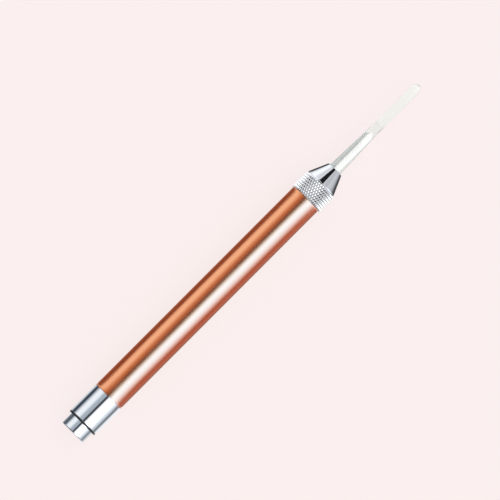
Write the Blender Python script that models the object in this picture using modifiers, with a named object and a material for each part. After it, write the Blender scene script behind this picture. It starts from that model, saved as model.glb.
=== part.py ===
"""A lighted ear pick: a slim penlight with a clear spoon that carries the light.

The pen lies along X on the plane Z = 0, its push button towards -X and its spoon towards +X.
Stations along the pen are counted in metres from the button's end face, and become X at the end.
Three button cells stand behind the tail cap. A brass rod takes their current to the lamp in the nose.
"""
import math

import bmesh
import bpy

MM = 0.001

# Fits between pieces
SEAT_GAP = 0.05 * MM
RUN_GAP = 0.10 * MM
END_PLAY = 0.40 * MM

# Button cells, a standard size
CELL_RADIUS = 3.95 * MM
CELL_HEIGHT = 3.60 * MM
CELL_CAP_HEIGHT = 0.45 * MM
CELL_CAP_INSET = 0.70 * MM
CELL_COUNT = 3

# Barrel, built up from the cells outwards
SLEEVE_WALL = 0.25 * MM
BARREL_WALL = 0.70 * MM
BARREL_LENGTH = 81.20 * MM
EDGE_CHAMFER = 0.12 * MM
BORE_RADIUS = CELL_RADIUS + SEAT_GAP + SLEEVE_WALL + SEAT_GAP
BARREL_RADIUS = BORE_RADIUS + BARREL_WALL

# Threaded spigots of the nose and the tail cap, with their seal rings
THREAD_LENGTH = 5.00 * MM
SEAL_CORD_RADIUS = 0.30 * MM
SEAL_SETBACK = 0.50 * MM
SPIGOT_WALL = 0.55 * MM
SPIGOT_RADIUS = BORE_RADIUS - RUN_GAP
SEAL_RADIUS = BORE_RADIUS - SEAT_GAP - SEAL_CORD_RADIUS
GROOVE_RADIUS = SEAL_RADIUS - SEAL_CORD_RADIUS - SEAT_GAP
GROOVE_WIDTH = 2 * (SEAL_CORD_RADIUS + SEAT_GAP)
SPIGOT_BORE_RADIUS = GROOVE_RADIUS - SPIGOT_WALL

# Push button and tail cap
BUTTON_REACH = 3.90 * MM
BUTTON_TRAVEL = 1.50 * MM
BUTTON_WALL = 0.50 * MM
BUTTON_EDGE = 0.25 * MM
CAP_LENGTH = 10.25 * MM
CAP_STEP = 0.125 * MM
CAP_WALL = 0.825 * MM
CAP_FLOOR = 0.45 * MM
CAP_RADIUS = BARREL_RADIUS + CAP_STEP
CAVITY_RADIUS = CAP_RADIUS - CAP_WALL
BUTTON_RADIUS = CAVITY_RADIUS - RUN_GAP
RING_THICKNESS = 0.55 * MM
RING_LIP = 0.45 * MM
RING_LIP_WALL = 0.225 * MM
RING_STEP = 0.125 * MM
RING_RADIUS = CAP_RADIUS - RING_STEP
RING_LIP_RADIUS = CAVITY_RADIUS + RING_LIP_WALL

# Push switch
HOUSING_WALL = 0.75 * MM
HOUSING_FLOOR = 0.80 * MM
COVER_THICKNESS = 0.80 * MM
SHAFT_RADIUS = 1.40 * MM
BOSS_WALL = 0.60 * MM
BOSS_LENGTH = 2.60 * MM
HEAD_THICKNESS = 0.60 * MM
RATCHET_TEETH = 8
RATCHET_TOOTH = 0.30 * MM
RATCHET_RAMP = 0.75
RATCHET_GAP = 0.8 * RATCHET_TOOTH
ROTOR_THICKNESS = 0.70 * MM
BRIDGE_THICKNESS = 0.20 * MM
PIN_RADIUS = 0.60 * MM
TEETH_BORE_STEP = 0.70 * MM
CONTACT_THICKNESS = 0.30 * MM
RIVET_HEAD_RADIUS = 1.20 * MM
RIVET_SHANK_RADIUS = 0.50 * MM
GROUND_RING_WIDTH = 0.80 * MM
GROUND_TAB_WIDTH = 1.00 * MM
GROUND_TAB_INSET = 0.03 * MM
SWITCH_RADIUS = CAVITY_RADIUS - SEAT_GAP
SWITCH_BORE_RADIUS = SWITCH_RADIUS - HOUSING_WALL
RATCHET_RADIUS = SWITCH_BORE_RADIUS - 2 * RUN_GAP
RATCHET_BORE_RADIUS = PIN_RADIUS + TEETH_BORE_STEP
ROTOR_HOLE_RADIUS = PIN_RADIUS + RUN_GAP
BOSS_BORE_RADIUS = SHAFT_RADIUS + SEAT_GAP
BOSS_RADIUS = BOSS_BORE_RADIUS + BOSS_WALL
BUTTON_BORE_RADIUS = BUTTON_RADIUS - BUTTON_WALL

# Springs
SPRING_WIRE_RADIUS = 0.20 * MM
SPRING_TURNS = 5
SPRING_END_FLATNESS = 0.3
POINTS_PER_TURN = 9

# Cells, spacer and contact rod along the barrel
CELL_SETBACK = 3.00 * MM
SLEEVE_SETBACK = 0.50 * MM
FRONT_SPRING_LENGTH = 6.50 * MM
FRONT_SPRING_EXPOSED = 1.60 * MM
ROD_RADIUS = 1.50 * MM
ROD_HEAD_THICKNESS = 0.75 * MM
SPRING_POCKET_RADIUS = 2.90 * MM
CONTACT_DISC_RADIUS = 2.60 * MM
CONTACT_DISC_THICKNESS = 0.40 * MM

# Lamp and its holder, built up from the lamp's leads outwards
LEAD_SPACING = 2.54 * MM
LEAD_RADIUS = 0.22 * MM
LEAD_SLOT_PLAY = 0.18 * MM
LAMP_RIM = 0.41 * MM
LAMP_FLANGE_STEP = 0.40 * MM
LAMP_FLANGE_HEIGHT = 0.95 * MM
LAMP_LENGTH = 5.25 * MM
LAMP_POCKET_DEPTH = 1.60 * MM
LAMP_TIP_GAP = 0.20 * MM
LAMP_FLANGE_RADIUS = LEAD_SPACING / 2 + LEAD_RADIUS + LAMP_RIM
LAMP_RADIUS = LAMP_FLANGE_RADIUS - LAMP_FLANGE_STEP
HOLDER_NOSE_WALL = 0.95 * MM
HOLDER_BODY_LENGTH = 6.20 * MM

# Knurled collar
COLLAR_LENGTH = 6.05 * MM
KNURL_DEPTH = 0.17 * MM
KNURL_STEP = 0.23 * MM
KNURL_DIAMONDS = 46
KNURL_ROWS = 8
COLLAR_LAND = 0.20 * MM
COLLAR_CHAMFER = 0.15 * MM
WEB_THICKNESS = 0.80 * MM
COUNTERBORE_DEPTH = 2.70 * MM
KNURL_ROOT_RADIUS = BARREL_RADIUS + KNURL_STEP
KNURL_TIP_RADIUS = KNURL_ROOT_RADIUS + KNURL_DEPTH

# Nose cone
NOSE_LENGTH = 5.95 * MM
NOSE_STEP = 0.10 * MM
NOSE_LAND = 0.25 * MM
NOSE_LIP = 0.48 * MM
NOSE_SKIRT_WALL = 0.40 * MM
NOSE_SHOULDER = 2.25 * MM

# Clear ear spoon
STEM_RADIUS = 2.03 * MM
STEM_END_RADIUS = 1.50 * MM
STEM_LENGTH = 14.70 * MM
LIGHT_BORE_RADIUS = 0.80 * MM
LIGHT_BORE_SETBACK = 0.20 * MM
TIP_SOCKET_WALL = 1.40 * MM
BLADE_LENGTH = 20.00 * MM
BLADE_WIDTH = 2.90 * MM
BLADE_THICKNESS = 1.10 * MM
BLADE_BLEND = 4.00 * MM
BLADE_SQUARENESS = 4.5
SCOOP_LENGTH = 6.20 * MM
SCOOP_DEPTH = 0.55 * MM
SCOOP_RIM = 0.30 * MM
SCOOP_RISE = 0.90 * MM
SCOOP_ENTRY = 0.25
SCOOP_LIP = 0.17
END_FLAT = 0.40
WASHER_THICKNESS = 0.40 * MM

# Cutting bodies run this far past what they cut
OVERRUN = 1.00 * MM

# Smoothness of the round pieces
SIDES = 32
SMALL_SIDES = 16
SPOON_POINTS = 24
SHARP_ANGLE = math.radians(30)
WELD_DISTANCE = 0.001 * MM

# Stations along the pen, from the button's end face forwards
RING_AT = BUTTON_REACH
CAP_AT = RING_AT + RING_THICKNESS + SEAT_GAP
BARREL_AT = CAP_AT + CAP_LENGTH + SEAT_GAP
COLLAR_AT = BARREL_AT + BARREL_LENGTH + SEAT_GAP
NOSE_AT = COLLAR_AT + COLLAR_LENGTH + SEAT_GAP
EXIT_AT = NOSE_AT + NOSE_LENGTH
BLADE_AT = EXIT_AT + STEM_LENGTH
SPOON_END_AT = BLADE_AT + BLADE_LENGTH

# The switch's housing is as deep as what moves in it, the travel and the contacts
ROTOR_LENGTH = RATCHET_TOOTH + ROTOR_THICKNESS
MOVING_LENGTH = HEAD_THICKNESS + RATCHET_GAP + ROTOR_LENGTH + SEAT_GAP + BRIDGE_THICKNESS
HOUSING_DEPTH = MOVING_LENGTH + BUTTON_TRAVEL + SEAT_GAP + CONTACT_THICKNESS + SEAT_GAP
HOUSING_LENGTH = HOUSING_DEPTH + HOUSING_FLOOR

# Stations of the switch, set back from the floor of the tail cap's cavity
CAVITY_END_AT = BARREL_AT - CAP_FLOOR
HOUSING_END_AT = CAVITY_END_AT - SEAT_GAP
HOUSING_AT = HOUSING_END_AT - HOUSING_LENGTH
COVER_AT = HOUSING_AT - SEAT_GAP - COVER_THICKNESS
HEAD_AT = HOUSING_AT
TEETH_AT = HEAD_AT + HEAD_THICKNESS
ROTOR_AT = TEETH_AT + RATCHET_GAP
ROTOR_END_AT = ROTOR_AT + ROTOR_LENGTH
BRIDGE_AT = ROTOR_END_AT + SEAT_GAP
BRIDGE_END_AT = BRIDGE_AT + BRIDGE_THICKNESS
FLOOR_AT = HOUSING_END_AT - HOUSING_FLOOR
CONTACTS_AT = FLOOR_AT - SEAT_GAP - CONTACT_THICKNESS
BUTTON_END_AT = COVER_AT - BUTTON_TRAVEL - 2 * RUN_GAP

# Stations of the cells, the spacer and the lamp
CELLS_AT = BARREL_AT + THREAD_LENGTH + CELL_SETBACK
CELL_PITCH = CELL_HEIGHT + SEAT_GAP
CELLS_END_AT = CELLS_AT + CELL_COUNT * CELL_PITCH
SPACER_AT = CELLS_END_AT + FRONT_SPRING_EXPOSED
ROD_HEAD_AT = CELLS_END_AT + FRONT_SPRING_LENGTH + SEAT_GAP
POCKET_END_AT = ROD_HEAD_AT + ROD_HEAD_THICKNESS + SEAT_GAP
SPIGOT_END_AT = COLLAR_AT - THREAD_LENGTH
HOLDER_STEP_AT = SPIGOT_END_AT - END_PLAY
HOLDER_AT = HOLDER_STEP_AT - HOLDER_BODY_LENGTH
CONTACT_DISC_AT = HOLDER_AT - SEAT_GAP - CONTACT_DISC_THICKNESS
SPACER_END_AT = CONTACT_DISC_AT - END_PLAY
WEB_END_AT = COLLAR_AT + COLLAR_LENGTH - COUNTERBORE_DEPTH
WEB_AT = WEB_END_AT - WEB_THICKNESS
HOLDER_END_AT = WEB_AT - END_PLAY
LAMP_AT = HOLDER_END_AT - LAMP_POCKET_DEPTH + SEAT_GAP
SOCKET_END_AT = LAMP_AT + LAMP_LENGTH + LAMP_TIP_GAP
WASHER_AT = WEB_END_AT + SEAT_GAP
TIP_AT = WASHER_AT + WASHER_THICKNESS + SEAT_GAP
SHOULDER_AT = NOSE_AT + NOSE_SHOULDER

# Radii that follow the lamp outwards through the nose
LAMP_POCKET_RADIUS = LAMP_FLANGE_RADIUS + RUN_GAP
HOLDER_BORE_RADIUS = LAMP_FLANGE_RADIUS - RUN_GAP
HOLDER_NOSE_RADIUS = LAMP_POCKET_RADIUS + HOLDER_NOSE_WALL
COLLAR_BORE_RADIUS = HOLDER_NOSE_RADIUS + RUN_GAP
TIP_SOCKET_RADIUS = LAMP_RADIUS + 3 * RUN_GAP
WEB_HOLE_RADIUS = TIP_SOCKET_RADIUS + 3 * RUN_GAP
TIP_BASE_RADIUS = TIP_SOCKET_RADIUS + TIP_SOCKET_WALL
NOSE_BORE_RADIUS = TIP_BASE_RADIUS + RUN_GAP
NOSE_SKIRT_RADIUS = NOSE_BORE_RADIUS + NOSE_SKIRT_WALL
COUNTERBORE_RADIUS = NOSE_SKIRT_RADIUS + SEAT_GAP
NOSE_EXIT_RADIUS = STEM_RADIUS + RUN_GAP
NOSE_BASE_RADIUS = BARREL_RADIUS + NOSE_STEP
NOSE_FRONT_RADIUS = NOSE_EXIT_RADIUS + NOSE_LIP

# The finished pen stands on its widest piece, centred on its length
PEN_HEIGHT = KNURL_TIP_RADIUS
PEN_MIDDLE = SPOON_END_AT / 2

# Colours as red, green, blue, then roughness and metallic
FINISHES = {
    "copper_anodised": ((0.60, 0.17, 0.07), 0.28, 1.0),
    "polished_chrome": ((0.78, 0.79, 0.81), 0.08, 1.0),
    "black_ring": ((0.02, 0.02, 0.02), 0.35, 0.0),
    "clear_plastic": ((0.86, 0.90, 0.87), 0.10, 0.0),
    "white_plastic": ((0.80, 0.80, 0.78), 0.45, 0.0),
    "black_rubber": ((0.03, 0.03, 0.03), 0.70, 0.0),
    "brass": ((0.72, 0.52, 0.22), 0.30, 1.0),
    "spring_steel": ((0.60, 0.60, 0.62), 0.25, 1.0),
    "cell_steel": ((0.66, 0.66, 0.66), 0.22, 1.0),
    "lamp_epoxy": ((0.88, 0.90, 0.92), 0.08, 0.0),
}


def clear_scene():
    for item in list(bpy.data.objects):
        bpy.data.objects.remove(item, do_unlink=True)


def new_collection(name):
    collection = bpy.data.collections.new(name)
    bpy.context.scene.collection.children.link(collection)
    return collection


def new_finish(name):
    colour, roughness, metallic = FINISHES[name]
    finish = bpy.data.materials.new(name)
    finish.use_nodes = True
    shader = finish.node_tree.nodes["Principled BSDF"]
    shader.inputs["Base Color"].default_value = (*colour, 1.0)
    shader.inputs["Roughness"].default_value = roughness
    shader.inputs["Metallic"].default_value = metallic
    return finish


def new_axis(name):
    """An empty on the pen's axis, its own Z along the pen and its origin at the button's end face."""
    axis = bpy.data.objects.new(name, None)
    axis.location = (-PEN_MIDDLE, 0.0, PEN_HEIGHT)
    axis.rotation_euler = (0.0, math.pi / 2, 0.0)
    axis.empty_display_size = 5 * MM
    PARTS.objects.link(axis)
    return axis


def place(item, axis, finish=None, collection=None):
    """Puts an object on one of the pen's axes, with its material."""
    (collection or PARTS).objects.link(item)
    item.parent = axis
    if finish:
        item.data.materials.append(FINISH[finish])
    return item


def smooth(mesh):
    mesh.shade_smooth()
    mesh.set_sharp_from_angle(angle=SHARP_ANGLE)


def guide(item):
    """Marks a cutting or joining body, which is no piece of the pen."""
    item.hide_render = True
    item.display_type = "WIRE"
    return item


def area_under(outline):
    total = 0.0
    for (r0, z0), (r1, z1) in zip(outline, outline[1:] + outline[:1]):
        total += r0 * z1 - r1 * z0
    return total / 2


def turned(name, outline, axis, finish=None, sides=SIDES, collection=None):
    """A turned piece from its outline, given as radius and station.

    The flats of the many-sided surface touch the true circle, and one flat faces straight down.
    An outline that starts and ends at radius 0 is solid; any other is closed round a bore.
    """
    solid = outline[0][0] == 0 and outline[-1][0] == 0
    points = list(outline)
    if area_under(points) > 0:
        points.reverse()
    to_corner = 1 / math.cos(math.pi / sides)
    mesh = bpy.data.meshes.new(name)
    verts = [(radius * to_corner, 0.0, station) for radius, station in points]
    count = len(points)
    edges = [(i, (i + 1) % count) for i in range(count - 1 if solid else count)]
    mesh.from_pydata(verts, edges, [])
    piece = bpy.data.objects.new(name, mesh)
    piece.rotation_euler = (0.0, 0.0, math.pi / sides)
    screw = piece.modifiers.new("Turn", "SCREW")
    screw.axis = "Z"
    screw.steps = sides
    screw.render_steps = sides
    screw.use_merge_vertices = True
    screw.merge_threshold = WELD_DISTANCE
    place(piece, axis, finish, collection)
    bake(piece)
    return piece


def bake(piece):
    """Replaces a piece's mesh by the mesh that its modifiers make, and shades it."""
    bpy.context.view_layer.update()
    evaluated = piece.evaluated_get(bpy.context.evaluated_depsgraph_get())
    mesh = bpy.data.meshes.new_from_object(evaluated)
    materials = list(piece.data.materials)
    piece.modifiers.clear()
    piece.data = mesh
    piece.data.materials.clear()
    for entry in materials:
        piece.data.materials.append(entry)
    smooth(mesh)


def cut(piece, tool):
    """Cuts a tool's shape out of a piece."""
    boolean = piece.modifiers.new("Cut", "BOOLEAN")
    boolean.operation = "DIFFERENCE"
    boolean.object = guide(tool)


def join(piece, tool):
    """Joins another body to a piece, as one solid."""
    boolean = piece.modifiers.new("Join", "BOOLEAN")
    boolean.operation = "UNION"
    boolean.object = guide(tool)


def block(name, size, centre, axis, collection):
    """A rectangular body, its size and centre given downwards, sideways and along the pen."""
    mesh = bpy.data.meshes.new(name)
    body = bmesh.new()
    bmesh.ops.create_cube(body, size=1.0)
    for vert in body.verts:
        vert.co = [vert.co[i] * size[i] for i in range(3)]
    body.to_mesh(mesh)
    body.free()
    piece = bpy.data.objects.new(name, mesh)
    piece.location = centre
    return place(piece, axis, None, collection)


def wire(name, points, radius, axis, finish, resolution=1):
    """A wire through the given points, with closed ends."""
    curve = bpy.data.curves.new(name, "CURVE")
    curve.dimensions = "3D"
    curve.bevel_depth = radius
    curve.bevel_resolution = resolution
    curve.use_fill_caps = True
    spline = curve.splines.new("POLY")
    spline.points.add(len(points) - 1)
    for point, where in zip(spline.points, points):
        point.co = (*where, 1.0)
    piece = bpy.data.objects.new(name, curve)
    return place(piece, axis, finish)


def coil_points(radius, start, end, turns):
    """Points of a coil spring whose end turns lie closer together than its middle ones."""
    count = turns * POINTS_PER_TURN
    points = []
    for i in range(count + 1):
        share = i / count
        angle = 2 * math.pi * turns * share
        rise = share - SPRING_END_FLATNESS * math.sin(2 * math.pi * share) / (2 * math.pi)
        points.append((radius * math.cos(angle), radius * math.sin(angle), start + (end - start) * rise))
    return points


def least_gap(points, wire_radius):
    """The least clear distance between a coil's neighbouring turns."""
    nearest = math.inf
    for i, first in enumerate(points):
        for second in points[i + POINTS_PER_TURN - 2:]:
            nearest = min(nearest, math.dist(first, second))
    return nearest - 2 * wire_radius


def coil_spring(name, radius, start, end, axis):
    points = coil_points(radius, start + SPRING_WIRE_RADIUS, end - SPRING_WIRE_RADIUS, SPRING_TURNS)
    gap = least_gap(points, SPRING_WIRE_RADIUS)
    print(f"{name}: least gap between turns {gap / MM:.2f} mm")
    return wire(name, points, SPRING_WIRE_RADIUS, axis, "spring_steel")


def skin(name, rings, axis, finish, raised=None, closed=False):
    """A closed body over rings of as many points each, with flat ends or closed round a bore.

    Where raised(ring, point) is given, it says which corners stand up, and each four-cornered
    face is split between its two low corners, so that every raised corner tops a pyramid.
    """
    body = bmesh.new()
    rows = [[body.verts.new(point) for point in ring] for ring in rings]
    if closed:
        rows.append(rows[0])
    count = len(rings[0])
    for j in range(len(rows) - 1):
        for k in range(count):
            after = (k + 1) % count
            a, b = rows[j][k], rows[j][after]
            c, d = rows[j + 1][after], rows[j + 1][k]
            if raised is None:
                body.faces.new((a, b, c, d))
            elif raised(j, k):
                body.faces.new((a, b, d))
                body.faces.new((b, c, d))
            else:
                body.faces.new((a, b, c))
                body.faces.new((a, c, d))
    if not closed:
        body.faces.new(list(reversed(rows[0])))
        body.faces.new(rows[-1])
    if body.calc_volume(signed=True) < 0:
        bmesh.ops.reverse_faces(body, faces=body.faces)
    mesh = bpy.data.meshes.new(name)
    body.to_mesh(mesh)
    body.free()
    smooth(mesh)
    return place(bpy.data.objects.new(name, mesh), axis, finish)


def seal_ring(name, station, axis):
    """A round rubber ring that lies in a spigot's groove."""
    bpy.ops.mesh.primitive_torus_add(
        major_radius=SEAL_RADIUS,
        minor_radius=SEAL_CORD_RADIUS,
        major_segments=SIDES,
        minor_segments=6,
    )
    ring = bpy.context.object
    ring.name = name
    for collection in ring.users_collection:
        collection.objects.unlink(ring)
    ring.location = (0.0, 0.0, station)
    smooth(ring.data)
    return place(ring, axis, "black_rubber")


def barrel_tube():
    chamfer = EDGE_CHAMFER
    end = BARREL_AT + BARREL_LENGTH
    return turned("barrel_tube", [
        (BARREL_RADIUS - chamfer, BARREL_AT),
        (BARREL_RADIUS, BARREL_AT + chamfer),
        (BARREL_RADIUS, end - chamfer),
        (BARREL_RADIUS - chamfer, end),
        (BORE_RADIUS, end),
        (BORE_RADIUS, BARREL_AT),
    ], BARREL, "copper_anodised")


def battery_sleeve():
    start = BARREL_AT + THREAD_LENGTH + SLEEVE_SETBACK
    end = SPACER_AT - SEAT_GAP
    outer = BORE_RADIUS - SEAT_GAP
    inner = outer - SLEEVE_WALL
    return turned("battery_sleeve", [
        (outer, start),
        (outer, end),
        (inner, end),
        (inner, start),
    ], BARREL, "white_plastic")


def battery_cell(number):
    """One cell: the steel can with its narrower cap towards the tail."""
    start = CELLS_AT + (number - 1) * CELL_PITCH
    end = start + CELL_HEIGHT
    cap = CELL_RADIUS - CELL_CAP_INSET
    edge = EDGE_CHAMFER
    return turned(f"battery_cell_{number}", [
        (0.0, start),
        (cap, start),
        (cap, start + CELL_CAP_HEIGHT),
        (CELL_RADIUS - edge, start + CELL_CAP_HEIGHT),
        (CELL_RADIUS, start + CELL_CAP_HEIGHT + edge),
        (CELL_RADIUS, end),
        (0.0, end),
    ], BARREL, "cell_steel")


def front_contact_spring():
    radius = SPRING_POCKET_RADIUS - SPRING_WIRE_RADIUS - 3 * RUN_GAP
    return coil_spring("front_contact_spring", radius, CELLS_END_AT, ROD_HEAD_AT - SEAT_GAP, BARREL)


def contact_rod():
    head = SPRING_POCKET_RADIUS - 2 * RUN_GAP
    shoulder = ROD_HEAD_AT + ROD_HEAD_THICKNESS
    end = CONTACT_DISC_AT - SEAT_GAP
    return turned("contact_rod", [
        (0.0, ROD_HEAD_AT),
        (head, ROD_HEAD_AT),
        (head, shoulder),
        (ROD_RADIUS, shoulder),
        (ROD_RADIUS, end),
        (0.0, end),
    ], BARREL, "brass", SMALL_SIDES)


def spacer_tube():
    outer = BORE_RADIUS - RUN_GAP
    bore = ROD_RADIUS + RUN_GAP
    return turned("spacer_tube", [
        (outer, SPACER_AT),
        (outer, SPACER_END_AT),
        (bore, SPACER_END_AT),
        (bore, POCKET_END_AT),
        (SPRING_POCKET_RADIUS, POCKET_END_AT),
        (SPRING_POCKET_RADIUS, SPACER_AT),
    ], BARREL, "white_plastic")


def centre_contact():
    return turned("centre_contact", [
        (0.0, CONTACT_DISC_AT),
        (CONTACT_DISC_RADIUS, CONTACT_DISC_AT),
        (CONTACT_DISC_RADIUS, CONTACT_DISC_AT + CONTACT_DISC_THICKNESS),
        (0.0, CONTACT_DISC_AT + CONTACT_DISC_THICKNESS),
    ], BARREL, "brass", SMALL_SIDES)


def led_holder():
    """The lamp's holder: a wide body in the barrel and a slim nose through the collar."""
    body = BORE_RADIUS - SEAT_GAP
    pocket_floor = HOLDER_END_AT - LAMP_POCKET_DEPTH
    holder = turned("led_holder", [
        (body, HOLDER_AT),
        (body, HOLDER_STEP_AT),
        (HOLDER_NOSE_RADIUS, HOLDER_STEP_AT),
        (HOLDER_NOSE_RADIUS, HOLDER_END_AT),
        (LAMP_POCKET_RADIUS, HOLDER_END_AT),
        (LAMP_POCKET_RADIUS, pocket_floor),
        (HOLDER_BORE_RADIUS, pocket_floor),
        (HOLDER_BORE_RADIUS, HOLDER_AT),
    ], BARREL, "white_plastic")
    width = 2 * (LEAD_RADIUS + LEAD_SLOT_PLAY)
    inner = HOLDER_BORE_RADIUS / 2
    outer = BORE_RADIUS
    slot = block(
        "lead_slot",
        (width, outer - inner, 2 * width),
        (0.0, -(outer + inner) / 2, lead_bend_at()),
        BARREL,
        GUIDES,
    )
    cut(holder, slot)
    return holder


def lead_bend_at():
    """Station where the cathode lead turns outwards, halfway along the holder's body."""
    return HOLDER_AT + HOLDER_BODY_LENGTH / 2


def led_lamp():
    """The lamp's clear body: a flanged cylinder with a round front end."""
    flange_end = LAMP_AT + LAMP_FLANGE_HEIGHT
    dome_at = LAMP_AT + LAMP_LENGTH - LAMP_RADIUS
    steps = 4
    dome = []
    for i in range(1, steps + 1):
        angle = math.pi / 2 * i / steps
        radius = 0.0 if i == steps else LAMP_RADIUS * math.cos(angle)
        dome.append((radius, dome_at + LAMP_RADIUS * math.sin(angle)))
    return turned("led_lamp", [
        (0.0, LAMP_AT),
        (LAMP_FLANGE_RADIUS, LAMP_AT),
        (LAMP_FLANGE_RADIUS, flange_end),
        (LAMP_RADIUS, flange_end),
        (LAMP_RADIUS, dome_at),
        *dome,
    ], BARREL, "lamp_epoxy", SMALL_SIDES)


def lamp_leads():
    """The anode runs back to the centre contact, the cathode turns out to the barrel's wall."""
    side = LEAD_SPACING / 2
    front = LAMP_AT - SEAT_GAP
    wire("anode_lead", [
        (0.0, side, front),
        (0.0, side, HOLDER_AT),
    ], LEAD_RADIUS, BARREL, "spring_steel")
    bend = 2 * LEAD_RADIUS
    turn_at = lead_bend_at()
    wire("cathode_lead", [
        (0.0, -side, front),
        (0.0, -side, turn_at + bend),
        (0.0, -side - bend / 2, turn_at + bend / 4),
        (0.0, -side - bend, turn_at),
        (0.0, -(BORE_RADIUS - SEAT_GAP), turn_at),
    ], LEAD_RADIUS, BARREL, "spring_steel")


def seal_groove(shoulder, direction):
    """Outline of a spigot's seal groove, from its shoulder towards its end."""
    near = shoulder + direction * SEAL_SETBACK
    far = near + direction * GROOVE_WIDTH
    return [
        (SPIGOT_RADIUS, near),
        (GROOVE_RADIUS, near),
        (GROOVE_RADIUS, far),
        (SPIGOT_RADIUS, far),
    ]


def knurl_rings():
    """Rings of the collar's outside, whose corners stand up in turn to make the diamonds."""
    columns = 2 * KNURL_DIAMONDS
    rows = 2 * KNURL_ROWS
    start = COLLAR_AT + COLLAR_CHAMFER
    end = COLLAR_AT + COLLAR_LENGTH - COLLAR_LAND - COLLAR_CHAMFER
    stations = [(COLLAR_AT, KNURL_ROOT_RADIUS - COLLAR_CHAMFER)]
    for row in range(rows + 1):
        stations.append((start + (end - start) * row / rows, KNURL_ROOT_RADIUS))
    stations.append((end + COLLAR_LAND, KNURL_ROOT_RADIUS))
    stations.append((COLLAR_AT + COLLAR_LENGTH, KNURL_ROOT_RADIUS - COLLAR_CHAMFER))
    rings = []
    for ring, (station, radius) in enumerate(stations):
        knurled = 1 < ring < rows + 1
        points = []
        for k in range(columns):
            height = KNURL_DEPTH if knurled and stands_up(ring, k) else 0.0
            angle = 2 * math.pi * k / columns
            reach = radius + height
            points.append((reach * math.cos(angle), reach * math.sin(angle), station))
        rings.append(points)
    return rings


def stands_up(ring, point):
    return (ring + point) % 2 == 0


def knurled_collar():
    """The grip ring: a diamond-knurled band with a threaded spigot behind it and a stepped bore."""
    collar = skin("knurled_collar", knurl_rings(), NOSE, "polished_chrome", stands_up)
    lead_in = EDGE_CHAMFER
    spigot = turned("collar_spigot", [
        (0.0, WEB_AT),
        (SPIGOT_RADIUS, WEB_AT),
        *seal_groove(COLLAR_AT, -1),
        (SPIGOT_RADIUS, SPIGOT_END_AT + lead_in),
        (SPIGOT_RADIUS - lead_in, SPIGOT_END_AT),
        (0.0, SPIGOT_END_AT),
    ], NOSE, collection=GUIDES)
    bore = turned("collar_bore", [
        (0.0, SPIGOT_END_AT - OVERRUN),
        (COLLAR_BORE_RADIUS, SPIGOT_END_AT - OVERRUN),
        (COLLAR_BORE_RADIUS, WEB_AT),
        (WEB_HOLE_RADIUS, WEB_AT),
        (WEB_HOLE_RADIUS, WEB_END_AT),
        (COUNTERBORE_RADIUS, WEB_END_AT),
        (COUNTERBORE_RADIUS, COLLAR_AT + COLLAR_LENGTH + OVERRUN),
        (0.0, COLLAR_AT + COLLAR_LENGTH + OVERRUN),
    ], NOSE, collection=GUIDES)
    join(collar, spigot)
    cut(collar, bore)
    return collar


def nose_cone():
    """The polished cone: its skirt is pressed into the collar, its shoulder holds the spoon's base."""
    skirt_at = WEB_END_AT + SEAT_GAP
    return turned("nose_cone", [
        (NOSE_SKIRT_RADIUS, skirt_at),
        (NOSE_SKIRT_RADIUS, NOSE_AT),
        (NOSE_BASE_RADIUS - EDGE_CHAMFER, NOSE_AT),
        (NOSE_BASE_RADIUS, NOSE_AT + EDGE_CHAMFER),
        (NOSE_BASE_RADIUS, NOSE_AT + NOSE_LAND),
        (NOSE_FRONT_RADIUS, EXIT_AT - EDGE_CHAMFER),
        (NOSE_FRONT_RADIUS - EDGE_CHAMFER, EXIT_AT),
        (NOSE_EXIT_RADIUS, EXIT_AT),
        (NOSE_EXIT_RADIUS, SHOULDER_AT),
        (NOSE_BORE_RADIUS, SHOULDER_AT),
        (NOSE_BORE_RADIUS, skirt_at),
    ], NOSE, "polished_chrome")


def tip_washer():
    return turned("tip_washer", [
        (WEB_HOLE_RADIUS, WASHER_AT),
        (TIP_BASE_RADIUS, WASHER_AT),
        (TIP_BASE_RADIUS, WASHER_AT + WASHER_THICKNESS),
        (WEB_HOLE_RADIUS, WASHER_AT + WASHER_THICKNESS),
    ], TIP, "black_rubber")


def ease(share):
    """A smooth step from 0 to 1."""
    share = min(max(share, 0.0), 1.0)
    return share * share * (3 - 2 * share)


def round_ring(radius, station):
    points = []
    for k in range(SPOON_POINTS):
        angle = 2 * math.pi * k / SPOON_POINTS
        points.append((-radius * math.cos(angle), radius * math.sin(angle), station))
    return points


def blade_section(station):
    """Half width, half thickness, squareness, lift and hollow of the spoon at a station."""
    along = station - BLADE_AT
    flat = ease(along / BLADE_BLEND)
    half_width = STEM_END_RADIUS + (BLADE_WIDTH / 2 - STEM_END_RADIUS) * flat
    half_height = STEM_END_RADIUS + (BLADE_THICKNESS / 2 - STEM_END_RADIUS) * flat
    squareness = 2.0 + (BLADE_SQUARENESS - 2.0) * flat
    to_end = max(BLADE_LENGTH - along, 0.0)
    into_scoop = max(1 - to_end / SCOOP_LENGTH, 0.0)
    lift = SCOOP_RISE * into_scoop ** 2
    hollow = SCOOP_DEPTH * ease(into_scoop / SCOOP_ENTRY) * ease((1 - into_scoop) / SCOOP_LIP)
    round_length = BLADE_WIDTH / 2
    if to_end < round_length:
        rounding = math.sqrt(1 - (1 - to_end / round_length) ** 2)
        half_width *= END_FLAT + (1 - END_FLAT) * rounding
        half_height *= END_FLAT + (1 - END_FLAT) * rounding
    return half_width, half_height, squareness, lift, hollow


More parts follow.
